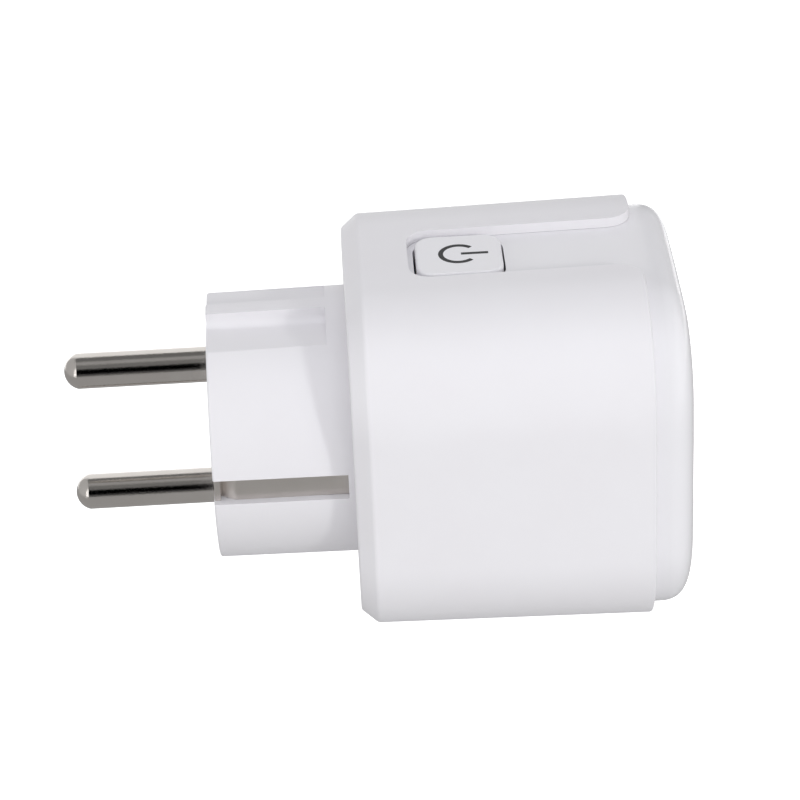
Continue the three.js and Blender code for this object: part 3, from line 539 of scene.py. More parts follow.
# %% The cup
CUP_FLOOR = 2.2 * MM
CUP_BACK = RECESS_FLOOR - CUP_FLOOR
NOSE_DROP = 3 * MM
NOSE_CLEARANCE = 0.35 * MM
NOSE_FRONT = insert_high.x - NOSE_DROP
NOSE_INNER = GUIDE_RIB_HALF_WIDTH + NOSE_CLEARANCE
NOSE_OUTER = 7.85 * MM
NOSE_HEIGHT = 16.3 * MM
CLIP_SLOT_INNER = 17.2 * MM
CLIP_SLOT_OUTER = 18.6 * MM
CLIP_SLOT_HALF = 3.5 * MM
recess = rod("recess", RECESS_FLOOR, FAR, SOCKET_RADIUS, sides=160)
for side in (1, -1):
    for height in (1, -1):
        y = sorted((side * NOSE_INNER, side * NOSE_OUTER))
        z = sorted((height * NOSE_HEIGHT, height * FAR))
        carve(recess, block("nose", (0, y[0], z[0]), (NOSE_FRONT, y[1], z[1])))
cup = rod("socket_cup", CUP_BACK, insert_high.x, collar_radius, sides=160)
carve(cup, recess)

# %% Pin holes with a lead-in, clip slots and the posts behind
LEAD_IN = 0.5 * MM
POST_RADIUS = 2.7 * MM
PIVOT_RADIUS = 1.8 * MM
PIVOT_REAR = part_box("shutter_frame")[0].x - 2 * MM
for side in (1, -1):
    carve(
        cup,
        rod("pin_hole", CUP_BACK - MM, RECESS_FLOOR + MM, PIN_HOLE_RADIUS,
            z=side * PIN_HEIGHT, sides=64),
        rod("lead_in", RECESS_FLOOR - LEAD_IN, RECESS_FLOOR + LEAD_IN, PIN_HOLE_RADIUS,
            PIN_HOLE_RADIUS + 2 * LEAD_IN, z=side * PIN_HEIGHT, sides=64),
    )
    y = sorted((side * CLIP_SLOT_INNER, side * CLIP_SLOT_OUTER))
    carve(cup, block("clip_slot", (CUP_BACK - MM, y[0], -CLIP_SLOT_HALF),
                     (RECESS_FLOOR + MM, y[1], CLIP_SLOT_HALF)))
    post = rod("post", insert_low.x, CUP_BACK + MM, POST_RADIUS, y=side * SCREW_SIDE, sides=48)
    carve(cup, post, operation="UNION")
    carve(cup, rod("post_bore", 0, screw_high.x + MM, SCREW_BORE_RADIUS,
                   y=side * SCREW_SIDE, sides=32))
carve(cup, rod("pivot", PIVOT_REAR, CUP_BACK + MM, PIVOT_RADIUS, sides=48), operation="UNION")
finish(cup)
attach(cup, "plug")
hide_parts("socket_insert")

# %% [markdown]
# ## The pins
#
# Each pin is turned from brass and plated with nickel: a plain shank with a domed tip, and a
# flange inside the boss that keeps it from being pulled out. It starts as a rod. The dome is a
# little flatter than a half ball, so it meets the shank at a fine edge: its end face is extruded
# and narrowed ring by ring along an arc. Flange and tail are extruded and widened from the back.

# %% Turn a pin and copy it
FLANGE_REAR = 6.2 * MM
FLANGE_FRONT = FLANGE_REAR + 1.5 * MM
FLANGE_RADIUS = 3.6 * MM
TAIL_RADIUS = 1.5 * MM
TIP_LENGTH = 1.82 * MM
TIP_STEPS = 14
TIP_EDGE_ANGLE = radians(12)  # sharper than the dome's rings, so that only its edge is crisp
tip_radius = (PIN_RADIUS ** 2 + TIP_LENGTH ** 2) / (2 * TIP_LENGTH)
tip_angle = acos(1 - TIP_LENGTH / tip_radius)
shoulder = live_low.x + TIP_LENGTH
pin_middle = (FLANGE_REAR, 0, PIN_HEIGHT)
pin = rod("live_pin_turned", shoulder, FLANGE_REAR, PIN_RADIUS, z=PIN_HEIGHT, sides=96)
edit(pin, "FACE", lambda face: face.normal.x < -0.9)
for step in range(TIP_STEPS, 0, -1):
    angle, next_angle = tip_angle * step / TIP_STEPS, tip_angle * (step - 1) / TIP_STEPS
    factor = sin(next_angle) / sin(angle)
    rise = tip_radius * (cos(next_angle) - cos(angle))
    bpy.ops.mesh.extrude_region_move(TRANSFORM_OT_translate={"value": (-rise, 0, 0)})
    bpy.ops.transform.resize(value=(1, factor, factor), center_override=pin_middle)
done()
edit(pin, "FACE", lambda face: face.normal.x > 0.9)
for radius, before, x, x_before in (
    (FLANGE_RADIUS, PIN_RADIUS, FLANGE_FRONT, FLANGE_REAR),
    (TAIL_RADIUS, FLANGE_RADIUS, live_high.x, FLANGE_FRONT),
):
    factor = radius / before
    bpy.ops.mesh.extrude_region_move()
    bpy.ops.transform.resize(value=(1, factor, factor), center_override=pin_middle)
    bpy.ops.mesh.extrude_region_move(TRANSFORM_OT_translate={"value": (x - x_before, 0, 0)})
done()
finish(pin, TIP_EDGE_ANGLE)


def copied(piece, name, move):
    """A copy of a piece with its own mesh, moved in its mesh."""
    twin = piece.copy()
    twin.data = piece.data.copy()
    twin.name = twin.data.name = name
    bpy.context.collection.objects.link(twin)
    twin.data.transform(Matrix.Translation(move))
    return twin


pins = [pin, copied(pin, "neutral_pin_turned", (0, 0, -2 * PIN_HEIGHT))]
for piece, node_name in zip(pins, ("live_pin", "neutral_pin")):
    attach(piece, "plug")
    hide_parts(node_name)

# %% [markdown]
# ## The earth straps
#
# A strap is one strip of plated spring metal. At the boss face its end dips in and folds out
# again, it runs along the boss in a slot, through the body, and ends as the clip that touches an
# inserted plug. It is drawn as an edge extruded from bend to bend, and a Solidify modifier gives
# it its thickness.

# %% Bend a strap and mirror it
STRIP_THICKNESS = 0.8 * MM
STRIP_HALF = EARTH_SLOT_HALF - 0.03 * MM
CLIP_HALF = 3.2 * MM
BEND_ROUND = 0.25 * MM
BURR_ROUND = 0.06 * MM
STRIP_OUTER = 16.8 * MM
strip_line = STRIP_OUTER - STRIP_THICKNESS / 2
clip_line = SOCKET_RADIUS - 1.8 * MM
clip_start = CUP_BACK - 5 * MM
bends = [
    (0.5 * MM, STRIP_OUTER), (0.5 * MM, strip_line - 1.5 * MM), (3.0 * MM, strip_line),
    (clip_start, strip_line), (CUP_BACK - 2 * MM, clip_line),
    (RECESS_FLOOR + 3 * MM, clip_line), (RECESS_FLOOR + 7.5 * MM, clip_line - 1.5 * MM),
    (RECESS_FLOOR + 9.5 * MM, clip_line - 1.4 * MM),
    (RECESS_FLOOR + 12 * MM, clip_line + 0.4 * MM),
]


def strap(name, side):
    """An earth strap on one side of the plug."""
    (x, y), (next_x, next_y) = bends[:2]
    bpy.ops.object.select_all(action="DESELECT")
    bpy.ops.mesh.primitive_plane_add(size=1, rotation=(pi / 2, 0, 0))
    piece = settled(name)
    for vertex in piece.data.vertices:
        near = vertex.co.x < 0
        vertex.co = (x if near else next_x, y if near else next_y,
                     STRIP_HALF if vertex.co.z > 0 else -STRIP_HALF)
    first_bend = Vector((next_x, next_y))
    edit(piece, "EDGE",
         lambda edge: all((v.co.xy - first_bend).length < 0.01 * MM for v in edge.verts))
    for (x, y), (next_x, next_y) in zip(bends[1:], bends[2:]):
        bpy.ops.mesh.extrude_region_move(
            TRANSFORM_OT_translate={"value": (next_x - x, next_y - y, 0)}
        )
    done()
    bevel(piece, BEND_ROUND, 3,
          lambda edge: abs(edge.verts[0].co.x - edge.verts[1].co.x) < 0.01 * MM
          and bends[0][0] + 0.1 * MM < edge.verts[0].co.x < bends[-1][0] - 0.1 * MM)
    wide = CLIP_HALF / STRIP_HALF
    edit(piece, "VERT", lambda vertex: vertex.co.x > CUP_BACK - 2.5 * MM)
    bpy.ops.transform.resize(value=(1, 1, wide), center_override=(0, 0, 0))
    done()
    apply_modifier(piece, "SOLIDIFY", thickness=STRIP_THICKNESS, offset=0, use_even_offset=True)
    if side < 0:
        piece.data.transform(Matrix.Scale(-1, 4, (0, 1, 0)))
    finish(piece)  # a mirrored strap has its faces turned out before its edges are rounded
    bevel(piece, BURR_ROUND, 2, lambda edge: edge.calc_face_angle(0) > radians(60))
    finish(piece)
    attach(piece, "plug")
    return piece


straps = [strap("earth_strap_left_bent", -1), strap("earth_strap_right_bent", 1)]
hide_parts("earth_strap_left")
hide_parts("earth_strap_right")

# %% [markdown]
# ## The housing screws
#
# Two long screws enter from the boss face and hold the recess moulding from behind. Their heads
# sit at the bottom of round wells. A screw is a rod with a second, wider rod for its head, and a
# cross-shaped drive cut with two tapered blocks.

# %% One screw and its copy
HEAD_HEIGHT = 1.6 * MM
HEAD_RADIUS = 2.5 * MM
SHANK_RADIUS = 1.2 * MM
DRIVE_LENGTH = 1.55 * MM
DRIVE_HALF_WIDTH = 0.38 * MM
DRIVE_DEPTH = 1.1 * MM
DRIVE_TAPER = 0.6
HEAD_ROUND = 0.5 * MM
screw = rod("housing_screw_1_turned", screw_low.x, screw_low.x + HEAD_HEIGHT, HEAD_RADIUS,
            y=SCREW_SIDE, sides=64)
bevel(screw, HEAD_ROUND, 5, at_x(screw_low.x))
carve(screw, rod("shank", screw_low.x + MM, screw_high.x, SHANK_RADIUS, y=SCREW_SIDE, sides=32),
      operation="UNION")
for across, up in ((DRIVE_LENGTH, DRIVE_HALF_WIDTH), (DRIVE_HALF_WIDTH, DRIVE_LENGTH)):
    drive = block("drive", (screw_low.x - MM, SCREW_SIDE - across, -up),
                  (screw_low.x + DRIVE_DEPTH, SCREW_SIDE + across, up))
    edit(drive, "FACE", lambda face: face.normal.x > 0.9)
    bpy.ops.transform.resize(
        value=(1, DRIVE_TAPER, DRIVE_TAPER), center_override=(0, SCREW_SIDE, 0)
    )
    done()
    carve(screw, drive)
finish(screw)
screws = [screw, copied(screw, "housing_screw_2_turned", (0, -2 * SCREW_SIDE, 0))]
for piece, node_name in zip(screws, ("housing_screw_1", "housing_screw_2")):
    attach(piece, "plug")
    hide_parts(node_name)

# %% [markdown]
# ## The power button
#
# The button is a flat cap with round corners that stands a little above the tongue. Under the
# tongue it widens into a flange, so that it can't fall out, and a short stem presses the switch.
# The sign on it is printed: a thin layer of ink, with an open ring and a bar. The ring is a small
# flat block turned round its centre with the Spin operator.

# %% Cap, flange and stem
CAP_ROUND = 0.4 * MM
FLANGE_THICKNESS = 0.9 * MM
STEM_HALF = 1.4 * MM
STEM_ROUND = 0.6 * MM
FLANGE_TOP = tongue_top - TONGUE_WALL - SEAT_GAP - FIT
FLANGE_BOTTOM = FLANGE_TOP - FLANGE_THICKNESS
FLANGE_LEDGE = MM
BUTTON_MIDDLE = (BUTTON_REAR + BUTTON_FRONT) / 2
button = block("power_button_cap", (BUTTON_REAR, -BUTTON_HALF_WIDTH, FLANGE_BOTTOM),
               (BUTTON_FRONT, BUTTON_HALF_WIDTH, BUTTON_TOP))
bevel(button, BUTTON_CORNER, 12,
      lambda edge: (edge.verts[0].co - edge.verts[1].co).xy.length < 0.01 * MM)
bevel(button, CAP_ROUND, 5, lambda edge: all(v.co.z > BUTTON_TOP - 0.01 * MM for v in edge.verts))
ledge = block("ledge", (BUTTON_REAR, -BUTTON_HALF_WIDTH - FLANGE_LEDGE, FLANGE_BOTTOM),
              (BUTTON_FRONT, BUTTON_HALF_WIDTH + FLANGE_LEDGE, FLANGE_TOP))
stem = block("stem", (BUTTON_MIDDLE - STEM_HALF, -STEM_HALF, button_low.z),
             (BUTTON_MIDDLE + STEM_HALF, STEM_HALF, FLANGE_TOP))
bevel(stem, STEM_ROUND, 4,
      lambda edge: (edge.verts[0].co - edge.verts[1].co).xy.length < 0.01 * MM)
carve(button, ledge, stem, operation="UNION")
finish(button)
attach(button, "button")
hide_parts("power_button")

# %% The printed sign
SIGN_X = 33.95 * MM
SIGN_RADIUS = 2.35 * MM
SIGN_STROKE = 0.65 * MM
SIGN_OPENING = radians(45)  # half of the ring's gap
SIGN_BAR_START = 0.35 * MM
SIGN_BAR_END = 3.95 * MM
SIGN_BAR_STROKE = 0.6 * MM
INK = 0.02 * MM
ink_low, ink_high = BUTTON_TOP - INK / 2, BUTTON_TOP + INK / 2
bpy.ops.object.select_all(action="DESELECT")
bpy.ops.mesh.primitive_plane_add(size=1, rotation=(pi / 2, 0, 0))
ring = bpy.context.object
ring.scale = (SIGN_STROKE, INK, 1)
ring.location = (SIGN_X + SIGN_RADIUS, 0, BUTTON_TOP)
ring = settled("power_sign")
edit(ring, "FACE", lambda face: True)
bpy.ops.transform.rotate(
    value=-SIGN_OPENING, orient_axis="Z", center_override=(SIGN_X, 0, BUTTON_TOP)
)
bpy.ops.mesh.spin(
    steps=72, angle=-2 * (pi - SIGN_OPENING), center=(SIGN_X, 0, BUTTON_TOP), axis=(0, 0, 1)
)
done()
print("sign ring spans", [round(value / MM, 2) for value in ring.dimensions])
bar = block("bar", (SIGN_X + SIGN_BAR_START, -SIGN_BAR_STROKE / 2, ink_low),
            (SIGN_X + SIGN_BAR_END, SIGN_BAR_STROKE / 2, ink_high))
carve(ring, bar, operation="UNION")
finish(ring)
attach(ring, "button")

# %% [markdown]
# ## Finishes
#
# Every finish starts from what the real material is and how its surface was made. Colours are
# written as the hex values that a paint or plastics card would give, and one function turns them
# into Blender's linear values. Patterns read Object coordinates, so their scale is a real size:
# a grain of half a millimetre is a noise with a scale of one over half a millimetre.

# %% Colour and node helpers
def colour(text):
    """An sRGB hex colour as linear red, green, blue and alpha."""
    channels = [int(text[i:i + 2], 16) / 255 for i in (1, 3, 5)]
    linear = [c / 12.92 if c <= 0.04045 else ((c + 0.055) / 1.055) ** 2.4 for c in channels]
    return (*linear, 1)


def node(tree, kind, settings=None, **inputs):
    """Adds a node. Settings are its menu choices, and an input is a value or a socket to link."""
    new = tree.nodes.new("ShaderNode" + kind)
    for name, value in (settings or {}).items():
        setattr(new, name, value)
    for name, value in inputs.items():
        socket = new.inputs[name.replace("_", " ")]
        if isinstance(value, bpy.types.NodeSocket):
            tree.links.new(value, socket)
        else:
            socket.default_value = value
    return new


def empty_material(name):
    """A material with a bare node tree and its output node."""
    material = bpy.data.materials.new(name)
    material.use_nodes = True
    tree = material.node_tree
    tree.nodes.clear()
    return material, tree, node(tree, "OutputMaterial")


# %% [markdown]
# ### Moulded plastics
#
# The housing is white ABS from a mould with a fine sparked texture: satin, with a grain that is
# only just there. The cover is the same white, from a polished mould, so it is glossy and shows
# clear reflections. The black parts inside are glass-filled nylon. They differ only in colour,
# roughness and grain, so one function makes them all.

# %% Moulded plastic
ROUGHNESS_SPREAD = 0.04


def moulded(name, base, shade, roughness, grain, depth):
    """A moulded plastic: two near shades in soft clouds, and a sparked grain of a real size."""
    material, tree, output = empty_material(name)
    place = node(tree, "TexCoord").outputs["Object"]
    clouds = node(tree, "TexNoise", Vector=place, Scale=1 / (9 * MM), Detail=2.0)
    tint = node(
        tree, "MixRGB", Fac=clouds.outputs["Fac"], Color1=colour(base), Color2=colour(shade),
    )
    spark = node(tree, "TexNoise", Vector=place, Scale=1 / grain, Detail=3.0, Roughness=0.6)
    rough = node(
        tree, "MapRange", Value=spark.outputs["Fac"],
        From_Min=0.3, From_Max=0.7, To_Min=roughness - ROUGHNESS_SPREAD,
        To_Max=roughness + ROUGHNESS_SPREAD,
    )
    bump = node(tree, "Bump", Height=spark.outputs["Fac"], Strength=1.0, Distance=depth)
    shader = node(
        tree, "BsdfPrincipled", Base_Color=tint.outputs["Color"], IOR=1.53,
        Roughness=rough.outputs["Result"], Normal=bump.outputs["Normal"],
    )
    tree.links.new(shader.outputs["BSDF"], output.inputs["Surface"])
    return material


ABS_SPARKED_WHITE = moulded("ABS_sparked_white", "#EFEEF1", "#ECEAED", 0.42, 0.35 * MM, 0.004 * MM)
ABS_POLISHED_WHITE = moulded(
    "ABS_polished_white", "#EFEEF1", "#EDECEF", 0.2, 0.8 * MM, 0.0015 * MM,
)
ABS_SATIN_WHITE = moulded("ABS_satin_white", "#F2F1F4", "#EFEEF1", 0.35, 0.3 * MM, 0.003 * MM)
NYLON_BLACK = moulded("glass_filled_nylon_black", "#1E1E20", "#262628", 0.5, 0.25 * MM, 0.01 * MM)
SHUTTER_NYLON = moulded(
    "glass_filled_nylon_white", "#E4E2E2", "#DBD9DA", 0.45, 0.25 * MM, 0.01 * MM,
)
POLYESTER_YELLOW = moulded("polyester_case_yellow", "#D8B438", "#CDA82F", 0.4, 0.5 * MM, 0.01 * MM)
EPOXY_BLUE = moulded("dipped_epoxy_blue", "#2A62A8", "#23569A", 0.25, 1.2 * MM, 0.03 * MM)
SLEEVE_BLUE = moulded("shrink_sleeve_blue", "#1E3F86", "#1A3777", 0.35, 1.5 * MM, 0.01 * MM)
INK_BLACK = moulded("pad_print_ink_black", "#141418", "#1B1B20", 0.5, 0.2 * MM, 0.002 * MM)

# %% [markdown]
# ### Metals
#
# The pins are turned brass with a nickel plating that copies the fine rings of the lathe, and
# carries a sandy grain from the barrel that it was plated in. A metal's colour is its reflection,
# so only the tint, the roughness and the marks are set, and the IOR stays as it is.

# %% Metal with turned rings or a rolled grain
def metal(name, tint, shade, roughness, spread, ring_spacing, ring_depth, grain, grain_depth):
    """A metal whose marks run round X, such as lathe rings, over a sandy grain."""
    material, tree, output = empty_material(name)
    place = node(tree, "TexCoord").outputs["Object"]
    rings_place = node(tree, "Mapping", Vector=place, Scale=(1 / ring_spacing, 0.0, 0.0))
    rings = node(tree, "TexNoise", Vector=rings_place.outputs["Vector"], Scale=1.0, Detail=2.0)
    sand = node(tree, "TexNoise", Vector=place, Scale=1 / grain, Detail=4.0, Roughness=0.65)
    stain = node(tree, "TexNoise", Vector=place, Scale=1 / (4 * MM), Detail=3.0)
    colours = node(
        tree, "MixRGB", Fac=stain.outputs["Fac"], Color1=colour(tint), Color2=colour(shade),
    )
    rough = node(
        tree, "MapRange", Value=sand.outputs["Fac"],
        From_Min=0.3, From_Max=0.7, To_Min=roughness - spread, To_Max=roughness + spread,
    )
    sand_bump = node(tree, "Bump", Height=sand.outputs["Fac"], Strength=1.0, Distance=grain_depth)
    ring_bump = node(
        tree, "Bump", Height=rings.outputs["Fac"], Strength=1.0, Distance=ring_depth,
        Normal=sand_bump.outputs["Normal"],
    )
    shader = node(
        tree, "BsdfPrincipled", Base_Color=colours.outputs["Color"], Metallic=1.0,
        Roughness=rough.outputs["Result"], Normal=ring_bump.outputs["Normal"],
    )
    tree.links.new(shader.outputs["BSDF"], output.inputs["Surface"])
    return material


NICKEL_TURNED = metal(
    "nickel_plated_turned_brass", "#DEDAD5", "#D3CDC8", 0.12, 0.03,
    0.12 * MM, 0.0006 * MM, 0.2 * MM, 0.018 * MM,
)
NICKEL_STAMPED = metal(
    "nickel_plated_stamped_strip", "#E6E1DC", "#DCD6D0", 0.36, 0.05,
    0.3 * MM, 0.0006 * MM, 0.12 * MM, 0.002 * MM,
)
BRASS_TINNED = metal(
    "tinned_spring_brass", "#D8BF82", "#CDB377", 0.32, 0.05,
    0.3 * MM, 0.0006 * MM, 0.2 * MM, 0.002 * MM,
)
STEEL_ZINC = metal(
    "zinc_plated_steel", "#C5C8CC", "#B9BDC3", 0.28, 0.05,
    0.15 * MM, 0.001 * MM, 0.3 * MM, 0.004 * MM,
)
TIN_PLATE = metal(
    "tin_plated_can", "#C3C6CB", "#BABDC3", 0.25, 0.04,
    0.4 * MM, 0.0004 * MM, 0.4 * MM, 0.002 * MM,
)

# %% [markdown]
# ### Circuit board, windings and lens
#
# Inside, the boards are glass-fibre laminate under green solder mask, where the weave and the
# tracks show as faint lighter squares. The coils are wound with enamelled copper wire, whose
# turns lie side by side. The indicator has a clear lens over a warm white die.

# %% Solder mask over tracks
def solder_mask():
    """Green laminate with faint tracks: bricks of a track's width, a little lighter."""
    material, tree, output = empty_material("solder_mask_green")
    place = node(tree, "TexCoord").outputs["Object"]
    turned = node(tree, "Mapping", Vector=place, Rotation=(0.0, pi / 2, 0.0))
    tracks = node(
        tree, "TexBrick", Vector=turned.outputs["Vector"], Scale=1 / (4 * MM), Mortar_Size=0.04,
        Color1=colour("#1F5A3A"), Color2=colour("#1B5134"), Mortar=colour("#2F7A50"),
    )
    shader = node(tree, "BsdfPrincipled", Base_Color=tracks.outputs["Color"], Roughness=0.35)
    tree.links.new(shader.outputs["BSDF"], output.inputs["Surface"])
    return material


SOLDER_MASK = solder_mask()


# %% Copper winding
def winding():
    """Enamelled copper wire: a painted shade in the groove between every two turns along X, with a
    bump for the groove.
    """
    wire = 0.4 * MM
    material, tree, output = empty_material("enamelled_copper_wire")
    place = node(tree, "TexCoord").outputs["Object"]
    turns = node(
        tree, "TexWave", {"wave_type": "BANDS", "bands_direction": "X"},
        Vector=place, Scale=pi / (10 * wire),
    )
    # the dark brown is painted shade where two turns meet, and the lighter colour is the copper
    # itself
    shades = node(
        tree, "MixRGB", Fac=turns.outputs["Fac"],
        Color1=colour("#6E3A1C"), Color2=colour("#C07A45"),
    )
    groove = node(tree, "Bump", Height=turns.outputs["Fac"], Strength=1.0, Distance=wire / 4)
    shader = node(
        tree, "BsdfPrincipled", Base_Color=shades.outputs["Color"], Metallic=0.8, Roughness=0.35,
        Normal=groove.outputs["Normal"],
    )
    tree.links.new(shader.outputs["BSDF"], output.inputs["Surface"])
    return material


COPPER_WINDING = winding()


# %% Indicator lens
def lens():
    """Clear epoxy, slightly warm, with a soft cloud where the die shines through."""
    material, tree, output = empty_material("clear_epoxy_lens")
    place = node(tree, "TexCoord").outputs["Object"]
    cloud = node(tree, "TexNoise", Vector=place, Scale=1 / (0.8 * MM), Detail=1.0)
    shades = node(
        tree, "MixRGB", Fac=cloud.outputs["Fac"],
        Color1=colour("#F4F0DC"), Color2=colour("#E9E2C4"),
    )
    shader = node(
        tree, "BsdfPrincipled", Base_Color=shades.outputs["Color"], Roughness=0.12,
        Transmission_Weight=0.35,
    )
    tree.links.new(shader.outputs["BSDF"], output.inputs["Surface"])
    return material


CLEAR_LENS = lens()

# %% Dress every piece
finishes = {
    ABS_SPARKED_WHITE: [body],
    ABS_POLISHED_WHITE: [cover],
    ABS_SATIN_WHITE: [button, cup],
    NICKEL_TURNED: pins,
    NICKEL_STAMPED: [*straps, "earth_link"],
    STEEL_ZINC: [*screws, "shutter_spring"],
    INK_BLACK: [ring],
    BRASS_TINNED: ["live_contact", "neutral_contact"],
    SHUTTER_NYLON: ["shutter"],
    NYLON_BLACK: [
        "pin_carrier", "shutter_frame", "tact_switch_body", "tact_switch_plunger", "fuse",
        "bridge_rectifier", "metering_chip", "supply_chip",
    ],
    SOLDER_MASK: ["main_board", "button_board", "wifi_board"],
    POLYESTER_YELLOW: ["relay", "film_capacitor"],
    EPOXY_BLUE: ["varistor"],
    SLEEVE_BLUE: ["bulk_capacitor_1", "bulk_capacitor_2"],
    COPPER_WINDING: ["supply_inductor", "noise_choke"],
    TIN_PLATE: ["wifi_shield"],
    CLEAR_LENS: ["status_led"],
}
dressed = 0
for material, pieces in finishes.items():
    for piece in pieces:
        if isinstance(piece, str):
            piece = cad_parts[piece]
        if not piece.material_slots:
            piece.data.materials.append(material)
        for slot in piece.material_slots:
            slot.material = material
        dressed += 1
print(dressed, "pieces have their finish")

# %% [markdown]
# ## The studio
#
# White plastic only shows its form where the light on one side differs from the light on the
# next, so the room is a plain soft one: an even sky, a pale floor, and five lamps. Four are broad.
# The fifth, the key, is small and a little to the right, and draws the crisp shadow of the body on
# the boss. The metal needs something dark to reflect. A studio stands cards round a shiny thing
# for that, and a narrow light for a bright streak. Here they are a curved screen with grey
# bands, a card beyond the pins, one behind the cover, and a strip light. Only mirror-like
# reflections see them.

# %% A level that camera, mirror and glass rays see
def seen_level(tree, unseen, seen):
    """One number for the rays that light the plug, another for those that look at the room."""
    rays = node(tree, "LightPath")
    level = rays.outputs["Is Camera Ray"]
    for ray in ("Is Glossy Ray", "Is Transmission Ray"):
        either = node(tree, "Math", {"operation": "MAXIMUM"})
        tree.links.new(level, either.inputs[0])
        tree.links.new(rays.outputs[ray], either.inputs[1])
        level = either.outputs["Value"]
    return node(
        tree, "MapRange", Value=level, To_Min=unseen, To_Max=seen,
    ).outputs["Result"]


# %% Floor
FLOOR_GLOW = 0.9
FLOOR_DROP = 120 * MM
FLOOR_SIZE = 30.0
bpy.ops.object.select_all(action="DESELECT")
bpy.ops.mesh.primitive_plane_add(size=FLOOR_SIZE, location=(0, 0, -FLOOR_DROP))
floor = settled("floor")
material, tree, output = empty_material("pale_paper_floor")
paper = node(tree, "BsdfDiffuse", Color=colour("#D8D8D8"))
glow = node(tree, "Emission", Color=(1, 1, 1, 1), Strength=seen_level(tree, 0.0, FLOOR_GLOW))
sum_shader = node(tree, "AddShader")
tree.links.new(paper.outputs["BSDF"], sum_shader.inputs[0])
tree.links.new(glow.outputs["Emission"], sum_shader.inputs[1])
tree.links.new(sum_shader.outputs["Shader"], output.inputs["Surface"])
floor.data.materials.append(material)

# %% Sky
SKY_LEVEL = 0.5
world = bpy.data.worlds.new("even_sky")
world.use_nodes = True
bpy.context.scene.world = world
tree = world.node_tree
tree.nodes.clear()
output = node(tree, "OutputWorld")
sky = node(tree, "Background", Color=colour("#FFFFFF"), Strength=seen_level(tree, SKY_LEVEL, 1.0))
tree.links.new(sky.outputs["Background"], output.inputs["Surface"])

# %% Cards that only reflections see
SCREEN_RADIUS = 700 * MM
SCREEN_LEFT, SCREEN_RIGHT = -500 * MM, 800 * MM
SCREEN_HIGH = 124  # degrees above the horizon, measured from the camera's side
SCREEN_STEPS = 64
CARD_DROP = FLOOR_DROP - 10 * MM
CARD_REACH = 300 * MM
CARD_THICKNESS = MM
SCREEN_BANDS = (  # top of each band in degrees, and how bright it is
    ("under_card", -90, 0.2),
    ("low_grey_card", -8, 0.375),
    ("dim_card", 5, 0.09),
    ("black_card", 38, 0.0),
    ("middle_grey_card", 66, 0.19),
    ("high_grey_card", 88, 0.36),
    ("top_grey_card", SCREEN_HIGH, 0.17),
)
END_CARD_LEVEL = 0.5
BACK_CARD_LEVEL = 0.45
BACK_CARD_DISTANCE = 500 * MM
BACK_CARD_START = BODY_FRONT + 60 * MM
STRIP_LIGHT_LEVEL = 3.0
STRIP_LIGHT_WIDTH = 75 * MM
STRIP_LIGHT_ASIDE = 420 * MM
STRIP_LIGHT_AHEAD = 400 * MM


def for_reflections(card):
    """Hides a card from every kind of ray but the mirror-like ones."""
    for ray in ("camera", "diffuse", "transmission", "volume_scatter", "shadow"):
        setattr(card, "visible_" + ray, False)


def glowing(name, level):
    """A card's material, of one even brightness."""
    material, tree, output = empty_material(name)
    glow = node(tree, "Emission", Color=(1, 1, 1, 1), Strength=level)
    tree.links.new(glow.outputs["Emission"], output.inputs["Surface"])
    return material


screen_middle = Vector(((live_low.x + cover_high.x) / 2, 0, 0))
bpy.ops.object.select_all(action="DESELECT")
bpy.ops.mesh.primitive_plane_add(size=2)
screen = settled("reflection_screen")
start = -asin(CARD_DROP / SCREEN_RADIUS)
for vertex in screen.data.vertices:
    vertex.co.x = screen_middle.x + (SCREEN_LEFT if vertex.co.x < 0 else SCREEN_RIGHT)
    vertex.co.y = -SCREEN_RADIUS * cos(start) if vertex.co.y < 0 else CARD_REACH
    vertex.co.z = -CARD_DROP
edit(screen, "EDGE", lambda edge: all(vertex.co.y < 0 for vertex in edge.verts))
bpy.ops.mesh.spin(
    steps=SCREEN_STEPS, angle=radians(SCREEN_HIGH) - start, center=screen_middle, axis=(1, 0, 0)
)
done()
for name, top, level in SCREEN_BANDS:
    screen.data.materials.append(glowing(name, level))
for face in screen.data.polygons:
    height = atan2(face.center.z, -face.center.y)
    face.material_index = sum(height > radians(top) for _, top, _ in SCREEN_BANDS[:-1])
for_reflections(screen)
print("screen's box:", [[round(v, 2) for v in screen.bound_box[i]] for i in (0, 6)])

end_x = screen_middle.x + SCREEN_LEFT
end_card = block("end_card", (end_x - CARD_THICKNESS, -SCREEN_RADIUS, -CARD_DROP),
                 (end_x, SCREEN_RADIUS, SCREEN_RADIUS))
end_card.data.materials.append(glowing("end_grey_card", END_CARD_LEVEL))
for_reflections(end_card)

# %% A strip light and a card behind
strip_x = screen_middle.x - STRIP_LIGHT_ASIDE
strip_light = block("strip_light", (strip_x - STRIP_LIGHT_WIDTH, -STRIP_LIGHT_AHEAD, -CARD_DROP),
                    (strip_x, -STRIP_LIGHT_AHEAD + CARD_THICKNESS, SCREEN_RADIUS))
strip_light.data.materials.append(glowing("strip_light_face", STRIP_LIGHT_LEVEL))
for_reflections(strip_light)
back_card = block(
    "back_card", (BACK_CARD_START, BACK_CARD_DISTANCE, -CARD_DROP),
    (screen_middle.x + SCREEN_RIGHT, BACK_CARD_DISTANCE + CARD_THICKNESS, SCREEN_RADIUS),
)
back_card.data.materials.append(glowing("back_grey_card", BACK_CARD_LEVEL))
for_reflections(back_card)
print("strip light at", round(strip_x / MM), "mm and back card from",
      round(BACK_CARD_START / MM), "mm")

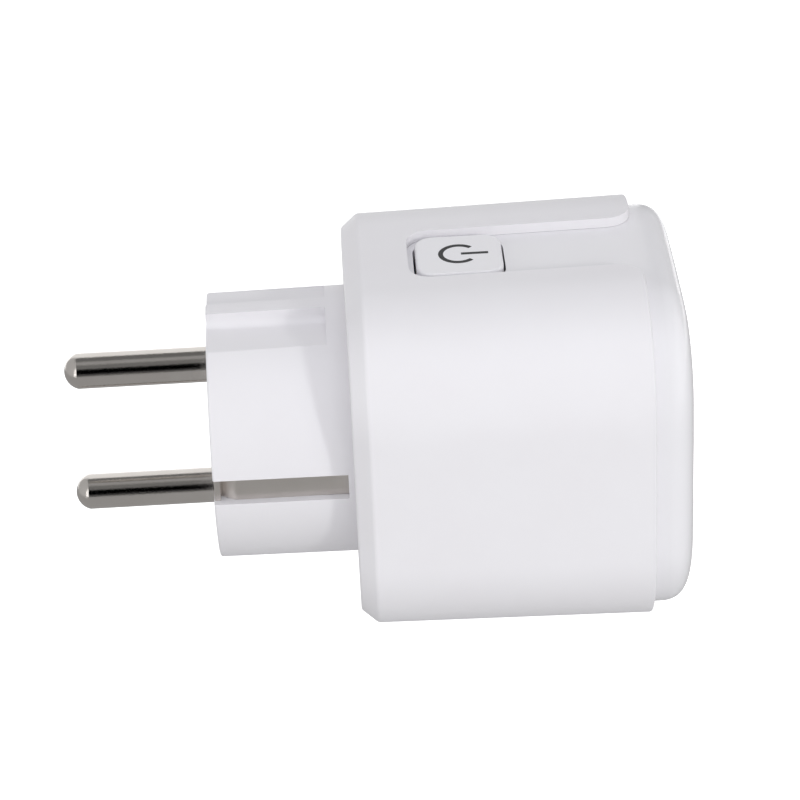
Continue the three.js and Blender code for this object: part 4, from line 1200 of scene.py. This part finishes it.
# %% Lamps beside the camera
LAMP_DISTANCE = 0.9
MIRRORED_LAMP = "left"  # the one lamp that glossy edges show
for name, azimuth, elevation, power, size, tint in (
    ("key", 33, 20, 1.3, 0.08, "#FFFFFF"),
    ("front_right", 25, 15, 1.3, 0.6, "#FFFFFF"),
    ("right", 60, 12, 0.62, 0.6, "#FFFFFF"),
    ("above", 0, 60, 1.65, 0.6, "#F4F6FF"),
    ("left", -70, 15, 1.5, 0.6, "#FFFFFF"),
):
    turn, rise = radians(azimuth), radians(elevation)
    away = Vector((sin(turn) * cos(rise), -cos(turn) * cos(rise), sin(rise)))
    bpy.ops.object.light_add(type="AREA", location=screen_middle + away * LAMP_DISTANCE)
    lamp = bpy.context.object
    lamp.name = name
    lamp.rotation_euler = away.to_track_quat("Z", "Y").to_euler()
    lamp.data.shape = "SQUARE"
    lamp.data.size = size
    lamp.data.energy = power
    lamp.data.color = colour(tint)[:3]
    lamp.visible_glossy = name == MIRRORED_LAMP

# %% Camera
# A long lens looks down at the side of the plug from about thirty degrees, and the camera is
# tipped a little, so that the plug climbs to the right.
CAMERA_LENS = 148.45
CAMERA_DISTANCE = 447.2 * MM
CAMERA_TARGET = Vector((25.37, 0, 2.26)) * MM
CAMERA_AZIMUTH = radians(-1.158)
CAMERA_ELEVATION = radians(30.18)
CAMERA_ROLL = radians(2.594)
back = Vector((
    sin(CAMERA_AZIMUTH) * cos(CAMERA_ELEVATION),
    -cos(CAMERA_AZIMUTH) * cos(CAMERA_ELEVATION),
    sin(CAMERA_ELEVATION),
))
bpy.ops.object.camera_add(location=CAMERA_TARGET + back * CAMERA_DISTANCE)
camera = bpy.context.object
aim = back.to_track_quat("Z", "Y").to_matrix().to_4x4()
roll = Matrix.Rotation(-CAMERA_ROLL, 4, "Z")
camera.matrix_world = Matrix.Translation(camera.location) @ aim @ roll
camera.data.lens = CAMERA_LENS
bpy.context.scene.camera = camera
bpy.context.scene.view_settings.view_transform = "Standard"
print("camera at", [round(value / MM, 1) for value in camera.location])
